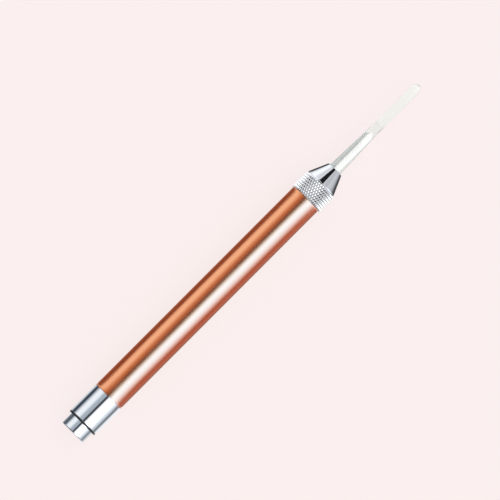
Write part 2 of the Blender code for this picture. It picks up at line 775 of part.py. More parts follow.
def blade_ring(station):
    """One section of the spoon, from a round stem to a flat blade with a hollow on top."""
    half_width, half_height, squareness, lift, hollow = blade_section(station)
    power = 2 / squareness
    inner = max(half_width - SCOOP_RIM, SCOOP_RIM)
    points = []
    for k in range(SPOON_POINTS):
        angle = 2 * math.pi * k / SPOON_POINTS
        up, side = math.cos(angle), math.sin(angle)
        across = half_width * math.copysign(abs(side) ** power, side)
        height = half_height * math.copysign(abs(up) ** power, up)
        if up > 0:
            height -= hollow * max(1 - (across / inner) ** 2, 0.0)
        points.append((-(height + lift), across, station))
    return points


def spread(start, end, count):
    """So many evenly spaced values from the start, without the end."""
    return [start + (end - start) * i / count for i in range(count)]


def light_bore_rings():
    """The light's bore in the stem, from its round end back to the lamp's socket."""
    round_at = BLADE_AT - LIGHT_BORE_SETBACK - LIGHT_BORE_RADIUS
    rings = []
    for angle in spread(math.radians(75), 0.0, 3):
        radius = LIGHT_BORE_RADIUS * math.cos(angle)
        rings.append(round_ring(radius, round_at + LIGHT_BORE_RADIUS * math.sin(angle)))
    rings.append(round_ring(LIGHT_BORE_RADIUS, round_at))
    rings.append(round_ring(LIGHT_BORE_RADIUS, SOCKET_END_AT))
    return rings


def base_rings():
    """The lamp's socket and the base that the nose cone holds."""
    base_end = SHOULDER_AT - SEAT_GAP
    return [
        round_ring(TIP_SOCKET_RADIUS, SOCKET_END_AT),
        round_ring(TIP_SOCKET_RADIUS, TIP_AT),
        round_ring(TIP_BASE_RADIUS, TIP_AT),
        round_ring(TIP_BASE_RADIUS, base_end),
        round_ring(STEM_RADIUS, base_end),
    ]


def stem_rings():
    rings = []
    for share in spread(0.0, 1.0, 4):
        radius = STEM_RADIUS + (STEM_END_RADIUS - STEM_RADIUS) * share
        rings.append(round_ring(radius, EXIT_AT + STEM_LENGTH * share))
    return rings


def blade_rings():
    """The blade: it flattens, runs straight, then dips into the scoop and rounds off at the end."""
    blend_end_at = BLADE_AT + BLADE_BLEND
    scoop_at = SPOON_END_AT - SCOOP_LENGTH
    round_length = BLADE_WIDTH / 2
    stations = [
        *spread(BLADE_AT, blend_end_at, 6),
        *spread(blend_end_at, scoop_at, 3),
        *spread(scoop_at, SPOON_END_AT - round_length, 8),
    ]
    for angle in spread(0.0, math.pi / 2, 6):
        stations.append(SPOON_END_AT - round_length * (1 - math.sin(angle)))
    stations.append(SPOON_END_AT)
    return [blade_ring(station) for station in stations]


def ear_spoon():
    """The clear spoon: base, tapering stem with its light bore, flat blade and scoop, in one piece."""
    rings = light_bore_rings() + base_rings() + stem_rings() + blade_rings()
    return skin("ear_spoon", rings, TIP, "clear_plastic")


def tail_cap():
    """The chrome tail sleeve: a cavity for button and switch behind, a threaded spigot in front."""
    chamfer = EDGE_CHAMFER
    spigot_end = BARREL_AT + THREAD_LENGTH
    shoulder = BARREL_AT - SEAT_GAP
    recess_radius = RING_LIP_RADIUS + SEAT_GAP
    recess_end = CAP_AT + RING_LIP + SEAT_GAP
    return turned("tail_cap", [
        (CAP_RADIUS - chamfer, CAP_AT),
        (CAP_RADIUS, CAP_AT + chamfer),
        (CAP_RADIUS, shoulder),
        (SPIGOT_RADIUS, shoulder),
        *seal_groove(BARREL_AT, 1),
        (SPIGOT_RADIUS, spigot_end - chamfer),
        (SPIGOT_RADIUS - chamfer, spigot_end),
        (SPIGOT_BORE_RADIUS, spigot_end),
        (SPIGOT_BORE_RADIUS, CAVITY_END_AT),
        (CAVITY_RADIUS, CAVITY_END_AT),
        (CAVITY_RADIUS, recess_end),
        (recess_radius, recess_end),
        (recess_radius, CAP_AT),
    ], TAIL, "polished_chrome")


def black_bezel_ring():
    """The black ring in the tail cap's mouth, which guides the button."""
    face_end = RING_AT + RING_THICKNESS
    return turned("black_bezel_ring", [
        (RING_RADIUS - EDGE_CHAMFER, RING_AT),
        (RING_RADIUS, RING_AT + EDGE_CHAMFER),
        (RING_RADIUS, face_end),
        (RING_LIP_RADIUS, face_end),
        (RING_LIP_RADIUS, face_end + RING_LIP),
        (CAVITY_RADIUS, face_end + RING_LIP),
        (CAVITY_RADIUS, RING_AT),
    ], TAIL, "black_ring")


def push_button():
    """A polished cup with a boss inside, pressed on the switch's plunger."""
    edge = BUTTON_EDGE
    floor = BUTTON_WALL
    boss_end = floor + BOSS_LENGTH
    return turned("push_button", [
        (0.0, 0.0),
        (BUTTON_RADIUS - edge, 0.0),
        (BUTTON_RADIUS, edge),
        (BUTTON_RADIUS, BUTTON_END_AT),
        (BUTTON_BORE_RADIUS, BUTTON_END_AT),
        (BUTTON_BORE_RADIUS, floor),
        (BOSS_RADIUS, floor),
        (BOSS_RADIUS, boss_end),
        (BOSS_BORE_RADIUS, boss_end),
        (BOSS_BORE_RADIUS, floor),
        (0.0, floor),
    ], BUTTON, "polished_chrome")


def return_spring():
    radius = (BOSS_RADIUS + BUTTON_BORE_RADIUS) / 2
    return coil_spring("return_spring", radius, BUTTON_WALL + SEAT_GAP, COVER_AT - SEAT_GAP, TAIL)


def switch_cover():
    hole = SHAFT_RADIUS + RUN_GAP
    end = COVER_AT + COVER_THICKNESS
    return turned("switch_cover", [
        (SWITCH_RADIUS, COVER_AT),
        (SWITCH_RADIUS, end),
        (hole, end),
        (hole, COVER_AT),
    ], TAIL, "white_plastic")


def switch_housing():
    """The switch's cup, with a hole for the rivet and a slot for the ground contact's tab."""
    hole = RIVET_SHANK_RADIUS + SEAT_GAP
    housing = turned("switch_housing", [
        (SWITCH_RADIUS, HOUSING_AT),
        (SWITCH_RADIUS, HOUSING_END_AT),
        (hole, HOUSING_END_AT),
        (hole, FLOOR_AT),
        (SWITCH_BORE_RADIUS, FLOOR_AT),
        (SWITCH_BORE_RADIUS, HOUSING_AT),
    ], TAIL, "white_plastic")
    inner = RATCHET_RADIUS
    outer = CAVITY_RADIUS + HOUSING_WALL
    slot = block(
        "tab_slot",
        (GROUND_TAB_WIDTH + 2 * RUN_GAP, outer - inner, CONTACT_THICKNESS + 2 * RUN_GAP),
        (0.0, (inner + outer) / 2, CONTACTS_AT + CONTACT_THICKNESS / 2),
        TAIL,
        GUIDES,
    )
    cut(housing, slot)
    return housing


def ground_contact():
    """A brass ring on the housing's floor, with a tab out to the tail cap's wall."""
    outer = RATCHET_RADIUS
    inner = outer - GROUND_RING_WIDTH
    end = CONTACTS_AT + CONTACT_THICKNESS
    contact = turned("ground_contact", [
        (outer, CONTACTS_AT),
        (outer, end),
        (inner, end),
        (inner, CONTACTS_AT),
    ], TAIL, "brass")
    root = outer - GROUND_RING_WIDTH / 2
    tab = block(
        "ground_tab",
        (GROUND_TAB_WIDTH, SWITCH_RADIUS - root, CONTACT_THICKNESS - 2 * GROUND_TAB_INSET),
        (0.0, (SWITCH_RADIUS + root) / 2, (CONTACTS_AT + end) / 2),
        TAIL,
        GUIDES,
    )
    join(contact, tab)
    return contact


def centre_terminal():
    """A brass rivet through the housing's floor, with a pad for the battery spring."""
    pad_at = CAVITY_END_AT + SEAT_GAP
    pad_end = pad_at + CONTACT_THICKNESS
    pad = SPIGOT_BORE_RADIUS - 4 * RUN_GAP
    return turned("centre_terminal", [
        (0.0, CONTACTS_AT),
        (RIVET_HEAD_RADIUS, CONTACTS_AT),
        (RIVET_HEAD_RADIUS, FLOOR_AT - SEAT_GAP),
        (RIVET_SHANK_RADIUS, FLOOR_AT - SEAT_GAP),
        (RIVET_SHANK_RADIUS, pad_at),
        (pad, pad_at),
        (pad, pad_end),
        (0.0, pad_end),
    ], TAIL, "brass", SMALL_SIDES)


def battery_spring():
    radius = SPIGOT_BORE_RADIUS - SPRING_WIRE_RADIUS - 3 * RUN_GAP
    start = CAVITY_END_AT + 2 * SEAT_GAP + CONTACT_THICKNESS
    return coil_spring("battery_spring", radius, start, CELLS_AT - SEAT_GAP, TAIL_RIDER)


def ratchet_height(angle):
    """Height of the ratchet's saw teeth at an angle: a long ramp and a steep back."""
    share = round(angle / (2 * math.pi) * RATCHET_TEETH, 6) % 1.0
    if share < RATCHET_RAMP:
        return RATCHET_TOOTH * share / RATCHET_RAMP
    return RATCHET_TOOTH * (1 - share) / (1 - RATCHET_RAMP)


def plain_ring(radius, station, height=None):
    """A ring of points, whose stations follow height(angle) where that is given."""
    points = []
    for k in range(SIDES):
        angle = 2 * math.pi * k / SIDES
        rise = height(angle) if height else 0.0
        points.append((radius * math.cos(angle), radius * math.sin(angle), station + rise))
    return points


def waiting_ratchet_height(angle):
    """The rotor's teeth at rest, which stand half a tooth ahead of the plunger's."""
    return ratchet_height(angle - math.pi / RATCHET_TEETH)


def plunger():
    """The switch's plunger: shaft, head with saw teeth on its front, and the rotor's pin."""
    rings = [
        plain_ring(SHAFT_RADIUS, BUTTON_WALL + SEAT_GAP),
        plain_ring(SHAFT_RADIUS, HEAD_AT),
        plain_ring(RATCHET_RADIUS, HEAD_AT),
        plain_ring(RATCHET_RADIUS, TEETH_AT, ratchet_height),
        plain_ring(RATCHET_BORE_RADIUS, TEETH_AT, ratchet_height),
        plain_ring(RATCHET_BORE_RADIUS - RUN_GAP, TEETH_AT),
        plain_ring(PIN_RADIUS, TEETH_AT),
        plain_ring(PIN_RADIUS, BRIDGE_END_AT - SEAT_GAP),
    ]
    return skin("plunger", rings, BUTTON, "white_plastic")


def latch_rotor():
    """The ratchet wheel that turns half a tooth at each press, on the plunger's pin."""
    rings = [
        plain_ring(ROTOR_HOLE_RADIUS, ROTOR_END_AT),
        plain_ring(ROTOR_HOLE_RADIUS, ROTOR_AT, waiting_ratchet_height),
        plain_ring(RATCHET_RADIUS, ROTOR_AT, waiting_ratchet_height),
        plain_ring(RATCHET_RADIUS, ROTOR_END_AT),
    ]
    return skin("latch_rotor", rings, ROTOR, "white_plastic", closed=True)


def contact_bridge():
    """The brass washer on the rotor that joins the terminals when the button is down."""
    return turned("contact_bridge", [
        (RATCHET_RADIUS, BRIDGE_AT),
        (RATCHET_RADIUS, BRIDGE_END_AT),
        (ROTOR_HOLE_RADIUS, BRIDGE_END_AT),
        (ROTOR_HOLE_RADIUS, BRIDGE_AT),
    ], ROTOR, "brass", SMALL_SIDES)


def build():
    barrel_tube()
    battery_sleeve()
    for number in range(1, CELL_COUNT + 1):
        battery_cell(number)
    front_contact_spring()
    contact_rod()
    spacer_tube()
    centre_contact()
    led_holder()
    led_lamp()
    lamp_leads()
    knurled_collar()
    nose_cone()
    seal_ring("nose_seal_ring", COLLAR_AT - SEAL_SETBACK - GROOVE_WIDTH / 2, NOSE)
    ear_spoon()
    tip_washer()
    tail_cap()
    black_bezel_ring()
    seal_ring("tail_seal_ring", BARREL_AT + SEAL_SETBACK + GROOVE_WIDTH / 2, TAIL_RIDER)
    battery_spring()
    switch_housing()
    switch_cover()
    centre_terminal()
    ground_contact()
    return_spring()
    push_button()
    plunger()
    latch_rotor()
    contact_bridge()


clear_scene()
PARTS = new_collection("lighted_ear_pick")
GUIDES = new_collection("cutting_guides")
FINISH = {name: new_finish(name) for name in FINISHES}
BARREL = new_axis("barrel_axis")
TIP = new_axis("tip_axis")
NOSE = new_axis("nose_axis")
TAIL_RIDER = new_axis("tail_rider_axis")
TAIL = new_axis("tail_axis")
BUTTON = new_axis("button_axis")
ROTOR = new_axis("rotor_axis")
build()
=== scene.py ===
"""The looks of a lighted ear pick: a slim copper and chrome penlight with a clear spoon.

The pen lies along X on a pale table, its push button towards -X and its spoon towards +X.
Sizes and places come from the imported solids, and what they leave open is named in each section.
"""
import math

import bmesh
import bpy
from mathutils import Matrix, Vector


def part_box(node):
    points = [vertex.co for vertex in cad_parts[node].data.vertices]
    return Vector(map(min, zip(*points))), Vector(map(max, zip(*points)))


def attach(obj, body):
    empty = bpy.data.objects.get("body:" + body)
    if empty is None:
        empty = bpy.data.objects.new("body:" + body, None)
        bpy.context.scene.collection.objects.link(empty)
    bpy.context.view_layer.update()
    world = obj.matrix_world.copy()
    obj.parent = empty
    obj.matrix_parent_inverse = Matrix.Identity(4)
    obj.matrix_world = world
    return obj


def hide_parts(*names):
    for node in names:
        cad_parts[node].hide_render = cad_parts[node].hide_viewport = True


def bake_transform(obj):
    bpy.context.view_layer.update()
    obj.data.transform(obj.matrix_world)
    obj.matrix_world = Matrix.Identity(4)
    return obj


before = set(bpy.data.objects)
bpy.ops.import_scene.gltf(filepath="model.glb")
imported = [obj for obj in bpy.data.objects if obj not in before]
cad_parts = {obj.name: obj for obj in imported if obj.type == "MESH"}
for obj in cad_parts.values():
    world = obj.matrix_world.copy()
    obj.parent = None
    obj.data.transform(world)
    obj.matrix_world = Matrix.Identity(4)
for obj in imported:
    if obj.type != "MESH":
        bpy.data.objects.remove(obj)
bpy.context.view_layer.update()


# Barrel tube: drawn aluminium, anodised in a copper colour with a satin gloss.
# Its ends are turned square with the edges just broken, and bored for the two threaded spigots.
MM = 0.001
FIT = 0.05 * MM
BARREL_WALL = 0.70 * MM
BARREL_EDGE = 0.12 * MM
SHARP_ANGLE = 40.0
COPPER = (0.90, 0.42, 0.225)
COPPER_DEEP = (0.86, 0.375, 0.19)
BARE_ALUMINIUM = (0.86, 0.80, 0.76)

barrel_low, barrel_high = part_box("barrel_tube")
AXIS_HEIGHT = (barrel_low.z + barrel_high.z) / 2
BARREL_RADIUS = (barrel_high.z - barrel_low.z) / 2
BORE_RADIUS = BARREL_RADIUS - BARREL_WALL


def with_rounded_corners(outline, steps=4, support=1.4):
    """An outline of (station, radius, rounding) points, its corners replaced by short curves.

    A support point on each side of a curve keeps the long straight faces' shading flat.
    """
    points = []
    count = len(outline)
    for i, (station, radius, rounding) in enumerate(outline):
        here = Vector((station, radius))
        if not rounding:
            points.append(here)
            continue
        back = (Vector(outline[i - 1][:2]) - here).normalized() * rounding
        ahead = (Vector(outline[(i + 1) % count][:2]) - here).normalized() * rounding
        points.append(here + back * support)
        for step in range(steps + 1):
            share = step / steps
            points.append(here + back * (1 - share) ** 2 + ahead * share ** 2)
        points.append(here + ahead * support)
    return [(point.x, point.y) for point in points]


def skin_over(name, rings, closed=False):
    """A smooth-shaded mesh over rings of as many points each; a ring of one point ends it."""
    mesh = bpy.data.meshes.new(name)
    body = bmesh.new()
    rows = [[body.verts.new(point) for point in ring] for ring in rings]
    if closed:
        rows.append(rows[0])
    count = max(len(ring) for ring in rings)
    for row, after in zip(rows, rows[1:]):
        for k in range(count):
            a, b = row[k % len(row)], row[(k + 1) % len(row)]
            c, d = after[(k + 1) % len(after)], after[k % len(after)]
            corners = list(dict.fromkeys((a, b, c, d)))
            if len(corners) > 2:
                body.faces.new(corners)
    bmesh.ops.recalc_face_normals(body, faces=body.faces)
    body.to_mesh(mesh)
    body.free()
    mesh.shade_smooth()
    mesh.set_sharp_from_angle(angle=math.radians(SHARP_ANGLE))
    piece = bpy.data.objects.new(name, mesh)
    bpy.context.scene.collection.objects.link(piece)
    return piece


def ring_at(station, radius, sides):
    """A circle of points round the pen's axis; radius may be a function of the angle."""
    if radius == 0:
        return [(station, 0.0, AXIS_HEIGHT)]
    points = []
    for k in range(sides):
        angle = 2 * math.pi * k / sides
        reach = radius(angle) if callable(radius) else radius
        points.append((station, reach * math.cos(angle), AXIS_HEIGHT + reach * math.sin(angle)))
    return points


def turned_piece(name, outline, sides=160):
    """A piece turned round the pen's axis from an outline of (station, radius) points."""
    solid = outline[0][1] == 0
    return skin_over(name, [ring_at(x, r, sides) for x, r in outline], closed=not solid)


def new_material(name, colour, roughness, metallic=0.0):
    """A material with its Principled shader, whose sockets the sections then link."""
    material = bpy.data.materials.new(name)
    material.use_nodes = True
    shader = material.node_tree.nodes["Principled BSDF"]
    shader.inputs["Base Color"].default_value = (*colour, 1.0)
    shader.inputs["Roughness"].default_value = roughness
    shader.inputs["Metallic"].default_value = metallic
    return material, material.node_tree, shader


def new_group(name, inputs, outputs):
    """An empty shader node group with float inputs (name: value) and the named outputs."""
    group = bpy.data.node_groups.new(name, "ShaderNodeTree")
    for label, value in inputs.items():
        socket = group.interface.new_socket(label, in_out="INPUT", socket_type="NodeSocketFloat")
        socket.default_value = value
    for label, kind in outputs.items():
        group.interface.new_socket(label, in_out="OUTPUT", socket_type=kind)
    return group, group.nodes.new("NodeGroupInput"), group.nodes.new("NodeGroupOutput")


def place_group(tree, group, **values):
    """The group as a node of a material's tree, with its inputs set by name."""
    node = tree.nodes.new("ShaderNodeGroup")
    node.node_tree = group
    for label, value in values.items():
        node.inputs[label.replace("_", " ").capitalize()].default_value = value
    return node


def stretched_grain():
    """Fine grain drawn out along the pen or round it, as a mask from 0 to 1."""
    group, given, made = new_group(
        "stretched_grain",
        {"Along": 40.0, "Across": 4000.0, "Detail": 3.0},
        {"Mask": "NodeSocketFloat"},
    )
    where = group.nodes.new("ShaderNodeTexCoord")
    parts = group.nodes.new("ShaderNodeSeparateXYZ")
    scaled = group.nodes.new("ShaderNodeCombineXYZ")
    noise = group.nodes.new("ShaderNodeTexNoise")
    noise.inputs["Scale"].default_value = 1.0
    group.links.new(where.outputs["Object"], parts.inputs[0])
    for axis, label in (("X", "Along"), ("Y", "Across"), ("Z", "Across")):
        times = group.nodes.new("ShaderNodeMath")
        times.operation = "MULTIPLY"
        group.links.new(parts.outputs[axis], times.inputs[0])
        group.links.new(given.outputs[label], times.inputs[1])
        group.links.new(times.outputs[0], scaled.inputs[axis])
    group.links.new(scaled.outputs[0], noise.inputs["Vector"])
    group.links.new(given.outputs["Detail"], noise.inputs["Detail"])
    group.links.new(noise.outputs["Fac"], made.inputs["Mask"])
    return group


def handling_marks():
    """Faint smudges from fingers, as a mask from 0 to 1 that is mostly low."""
    group, given, made = new_group(
        "handling_marks",
        {"Scale": 180.0, "Cover": 0.5},
        {"Mask": "NodeSocketFloat"},
    )
    where = group.nodes.new("ShaderNodeTexCoord")
    noise = group.nodes.new("ShaderNodeTexNoise")
    noise.inputs["Detail"].default_value = 5.0
    noise.inputs["Roughness"].default_value = 0.6
    noise.inputs["Distortion"].default_value = 0.4
    level = group.nodes.new("ShaderNodeMapRange")
    level.interpolation_type = "SMOOTHSTEP"
    level.inputs["From Max"].default_value = 0.8
    group.links.new(where.outputs["Object"], noise.inputs["Vector"])
    group.links.new(given.outputs["Scale"], noise.inputs["Scale"])
    group.links.new(noise.outputs["Fac"], level.inputs["Value"])
    group.links.new(given.outputs["Cover"], level.inputs["From Min"])
    group.links.new(level.outputs[0], made.inputs["Mask"])
    return group


def edge_wear():
    """Worn outer edges, broken up by a fine grain, as a mask from 0 to 1."""
    group, given, made = new_group(
        "edge_wear",
        {"Start": 0.52, "Full": 0.60, "Grain scale": 900.0},
        {"Mask": "NodeSocketFloat"},
    )
    geometry = group.nodes.new("ShaderNodeNewGeometry")
    where = group.nodes.new("ShaderNodeTexCoord")
    noise = group.nodes.new("ShaderNodeTexNoise")
    noise.inputs["Detail"].default_value = 4.0
    level = group.nodes.new("ShaderNodeMapRange")
    broken = group.nodes.new("ShaderNodeMath")
    broken.operation = "MULTIPLY"
    group.links.new(where.outputs["Object"], noise.inputs["Vector"])
    group.links.new(given.outputs["Grain scale"], noise.inputs["Scale"])
    group.links.new(geometry.outputs["Pointiness"], level.inputs["Value"])
    group.links.new(given.outputs["Start"], level.inputs["From Min"])
    group.links.new(given.outputs["Full"], level.inputs["From Max"])
    group.links.new(level.outputs[0], broken.inputs[0])
    group.links.new(noise.outputs["Fac"], broken.inputs[1])
    group.links.new(broken.outputs[0], made.inputs["Mask"])
    return group


def roughened(tree, shader, mask, low, high):
    """Runs the shader's roughness from low to high with a mask."""
    node = tree.nodes.new("ShaderNodeMapRange")
    node.inputs["To Min"].default_value = low
    node.inputs["To Max"].default_value = high
    tree.links.new(mask, node.inputs["Value"])
    tree.links.new(node.outputs[0], shader.inputs["Roughness"])


def mixed(tree, mask, first, second):
    """A colour between two others, each a colour or a node's output, by a mask."""
    node = tree.nodes.new("ShaderNodeMix")
    node.data_type = "RGBA"
    tree.links.new(mask, node.inputs["Factor"])
    for name, colour in (("A", first), ("B", second)):
        socket = next(s for s in node.inputs if s.name == name and s.type == "RGBA")
        if isinstance(colour, tuple):
            socket.default_value = (*colour, 1.0)
        else:
            tree.links.new(colour, socket)
    return next(s for s in node.outputs if s.type == "RGBA")


def bumped(tree, shader, height, distance):
    """Feeds a height mask to the shader's normal."""
    bump = tree.nodes.new("ShaderNodeBump")
    bump.inputs["Distance"].default_value = distance
    tree.links.new(height, bump.inputs["Height"])
    tree.links.new(bump.outputs[0], shader.inputs["Normal"])


GRAIN = stretched_grain()
SMUDGES = handling_marks()
WEAR = edge_wear()


def copper_anodising():
    material, tree, shader = new_material("copper_anodising", COPPER, 0.24, 1.0)
    shader.inputs["Coat Weight"].default_value = 0.5
    shader.inputs["Coat Roughness"].default_value = 0.12
    grain = place_group(tree, GRAIN, along=60.0, across=9000.0)
    smudge = place_group(tree, SMUDGES, scale=140.0, cover=0.45)
    wear = place_group(tree, WEAR, start=0.53, full=0.62)
    dyed = mixed(tree, grain.outputs[0], COPPER, COPPER_DEEP)
    worn = mixed(tree, wear.outputs[0], dyed, BARE_ALUMINIUM)
    tree.links.new(worn, shader.inputs["Base Color"])
    roughened(tree, shader, smudge.outputs[0], 0.23, 0.28)
    bumped(tree, shader, grain.outputs[0], 0.002 * MM)
    return material


barrel = turned_piece("copper_barrel", with_rounded_corners([
    (barrel_low.x, BARREL_RADIUS, BARREL_EDGE),
    (barrel_high.x, BARREL_RADIUS, BARREL_EDGE),
    (barrel_high.x, BORE_RADIUS, BARREL_EDGE / 2),
    (barrel_low.x, BORE_RADIUS, BARREL_EDGE / 2),
]))
barrel.data.materials.append(copper_anodising())
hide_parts("barrel_tube")
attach(barrel, "barrel")


# Tail cap: a brass sleeve, chrome plated and polished, turned in one piece with its threaded spigot.
# It screws into the barrel's rear end, and its cavity holds the push switch.
CHROME = (0.80, 0.835, 0.89)
THREAD_PITCH = 0.75 * MM
THREAD_DEPTH = 0.30 * MM
THREAD_STEPS = 10
THREAD_RUN_OUT = 6
SEAL_SETBACK = 0.50 * MM
SEAL_CORD_RADIUS = 0.30 * MM
SPIGOT_WALL = 0.55 * MM
CAP_EDGE = 0.12 * MM
CAP_FLOOR = 0.45 * MM
CAP_WALL = 0.825 * MM
RING_LIP_WALL = 0.225 * MM
RING_LIP = 0.45 * MM

cap_low, cap_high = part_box("tail_cap")
CAP_RADIUS = (cap_high.z - cap_low.z) / 2
SPIGOT_RADIUS = BORE_RADIUS - 2 * FIT
SEAL_RADIUS = BORE_RADIUS - FIT - SEAL_CORD_RADIUS
GROOVE_RADIUS = SEAL_RADIUS - SEAL_CORD_RADIUS - FIT
GROOVE_WIDTH = 2 * (SEAL_CORD_RADIUS + FIT)
SPIGOT_BORE_RADIUS = GROOVE_RADIUS - SPIGOT_WALL
CAVITY_RADIUS = CAP_RADIUS - CAP_WALL


def thread_outline(start, end):
    """Outline points of a right-hand V thread, which runs out softly at both ends."""
    count = round(abs(end - start) / THREAD_PITCH * THREAD_STEPS)
    points = []
    for i in range(count + 1):
        share = i / count
        station = start + (end - start) * share
        run_out = min(1.0, THREAD_RUN_OUT * share, THREAD_RUN_OUT * (1 - share))

        def reach(angle, station=station, run_out=run_out):
            turn = (station / THREAD_PITCH - angle / (2 * math.pi)) % 1.0
            return SPIGOT_RADIUS - THREAD_DEPTH * run_out * abs(2 * turn - 1)

        points.append((station, reach))
    return points


def threaded_spigot(shoulder, end):
    """Outline of a spigot from its shoulder to its end: seal groove, thread and rounded edge."""
    ahead = 1 if end > shoulder else -1
    near = shoulder + ahead * SEAL_SETBACK
    far = near + ahead * GROOVE_WIDTH
    return [
        (near, SPIGOT_RADIUS),
        (near, GROOVE_RADIUS),
        (far, GROOVE_RADIUS),
        (far, SPIGOT_RADIUS),
        *thread_outline(far + ahead * 2 * FIT, end - ahead * 2 * CAP_EDGE),
        (end - ahead * CAP_EDGE, SPIGOT_RADIUS - CAP_EDGE / 2),
        (end, SPIGOT_RADIUS - 1.5 * CAP_EDGE),
    ]


def polished_chrome():
    material, tree, shader = new_material("polished_chrome", CHROME, 0.06, 1.0)
    smudge = place_group(tree, SMUDGES, scale=220.0, cover=0.5)
    grain = place_group(tree, GRAIN, along=9000.0, across=60.0)
    roughened(tree, shader, smudge.outputs[0], 0.045, 0.11)
    tint = mixed(tree, smudge.outputs[0], CHROME, tuple(0.96 * part for part in CHROME))
    tree.links.new(tint, shader.inputs["Base Color"])
    bumped(tree, shader, grain.outputs[0], 0.0006 * MM)
    return material


cap_shoulder = barrel_low.x - FIT
cavity_end = barrel_low.x - CAP_FLOOR
recess_radius = CAVITY_RADIUS + RING_LIP_WALL + FIT
recess_end = cap_low.x + RING_LIP + FIT
tail_cap = turned_piece("chrome_tail_cap", [
    *with_rounded_corners([
        (recess_end, recess_radius, 0),
        (cap_low.x, recess_radius, 0),
        (cap_low.x, CAP_RADIUS, CAP_EDGE),
        (cap_shoulder, CAP_RADIUS, CAP_EDGE / 2),
        (cap_shoulder, SPIGOT_RADIUS, 0),
    ])[:-1],
    (cap_shoulder, SPIGOT_RADIUS),
    *threaded_spigot(barrel_low.x, cap_high.x),
    (cap_high.x, SPIGOT_BORE_RADIUS),
    (cavity_end, SPIGOT_BORE_RADIUS),
    (cavity_end, CAVITY_RADIUS),
    (recess_end, CAVITY_RADIUS),
])
chrome = polished_chrome()
tail_cap.data.materials.append(chrome)
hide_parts("tail_cap")
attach(tail_cap, "tail")


# Bezel ring: a black moulded nylon ring, pressed into the tail cap's mouth by its lip.
# It guides the push button and hides the cap's cut edge.
RING_BLACK = (0.016, 0.017, 0.019)
RING_EDGE = 0.06 * MM

bezel_low, bezel_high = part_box("black_bezel_ring")
BEZEL_RADIUS = (bezel_high.z - bezel_low.z) / 2


def black_nylon():
    material, tree, shader = new_material("black_nylon", RING_BLACK, 0.32)
    smudge = place_group(tree, SMUDGES, scale=900.0, cover=0.4)
    shader.inputs["Specular IOR Level"].default_value = 0.35
    roughened(tree, shader, smudge.outputs[0], 0.22, 0.36)
    tint = mixed(tree, smudge.outputs[0], RING_BLACK, tuple(1.6 * part for part in RING_BLACK))
    tree.links.new(tint, shader.inputs["Base Color"])
    return material


bezel_step = bezel_high.x - RING_LIP
bezel = turned_piece("black_bezel", with_rounded_corners([
    (bezel_low.x, CAVITY_RADIUS, RING_EDGE / 2),
    (bezel_low.x, BEZEL_RADIUS, RING_EDGE),
    (bezel_step, BEZEL_RADIUS, RING_EDGE / 3),
    (bezel_step, CAVITY_RADIUS + RING_LIP_WALL, 0),
    (bezel_high.x, CAVITY_RADIUS + RING_LIP_WALL, 0),
    (bezel_high.x, CAVITY_RADIUS, 0),
]))
bezel.data.materials.append(black_nylon())
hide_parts("black_bezel_ring")
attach(bezel, "tail")


# Push button: a deep-drawn cup, chrome plated and polished, with a boss inside its end.
# The boss is pressed on the switch's plunger.
BUTTON_WALL = 0.50 * MM
BUTTON_EDGE = 0.36 * MM
BOSS_RADIUS = 2.05 * MM
BOSS_BORE_RADIUS = 1.45 * MM
BOSS_LENGTH = 2.60 * MM

button_low, button_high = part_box("push_button")
BUTTON_RADIUS = (button_high.z - button_low.z) / 2

button_floor = button_low.x + BUTTON_WALL
button = turned_piece("chrome_push_button", with_rounded_corners([
    (button_low.x, 0.0, 0),
    (button_low.x, BUTTON_RADIUS, BUTTON_EDGE),
    (button_high.x, BUTTON_RADIUS, BUTTON_WALL / 4),
    (button_high.x, BUTTON_RADIUS - BUTTON_WALL, BUTTON_WALL / 4),
    (button_floor, BUTTON_RADIUS - BUTTON_WALL, BUTTON_WALL / 2),
    (button_floor, BOSS_RADIUS, 0),
    (button_floor + BOSS_LENGTH, BOSS_RADIUS, 0),
    (button_floor + BOSS_LENGTH, BOSS_BORE_RADIUS, 0),
    (button_floor, BOSS_BORE_RADIUS, 0),
    (button_floor, 0.0, 0),
]))
button.data.materials.append(chrome)
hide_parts("push_button")
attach(button, "button")


# Knurled collar: a chrome-plated brass ring, the grip for unscrewing the nose.
# Two crossing rows of rolled grooves leave pyramids with slightly flattened tips.
KNURL_CHROME = (0.78, 0.80, 0.83)
KNURL_DEPTH = 0.26 * MM
KNURL_ROUND = 42
KNURL_ROWS = 7
KNURL_STEPS = 8
KNURL_FLATNESS = 1.06
# Painted shade in the knurl's valleys: the base colour there is this share of the chrome's.
VALLEY_SHADE = 0.35
VALLEY_HEIGHT = 0.6
COLLAR_CHAMFER = 0.06 * MM
COLLAR_LAND = 0.20 * MM
WEB_THICKNESS = 0.80 * MM
COUNTERBORE_DEPTH = 2.70 * MM
COUNTERBORE_RADIUS = 3.75 * MM
COLLAR_BORE_RADIUS = 3.05 * MM
WEB_HOLE_RADIUS = 2.10 * MM

collar_low, collar_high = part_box("knurled_collar")
KNURL_TIP_RADIUS = (collar_high.z - collar_low.z) / 2
KNURL_ROOT_RADIUS = KNURL_TIP_RADIUS - KNURL_DEPTH


def triangle_wave(turns):
    """0 at whole turns and 1 halfway between them."""
    return 1 - abs(2 * (turns % 1.0) - 1)


def knurl_outline(start, end):
    """Outline points of the knurled band, whose radius changes with the angle."""
    count = KNURL_ROWS * KNURL_STEPS
    points = []
    for i in range(count + 1):
        rows = i / KNURL_STEPS

        def reach(angle, rows=rows):
            around = angle / (2 * math.pi) * KNURL_ROUND
            height = min(triangle_wave(around + rows / 2), triangle_wave(around - rows / 2))
            return KNURL_ROOT_RADIUS + KNURL_DEPTH * min(1.0, KNURL_FLATNESS * height)

        points.append((start + (end - start) * i / count, reach))
    return points


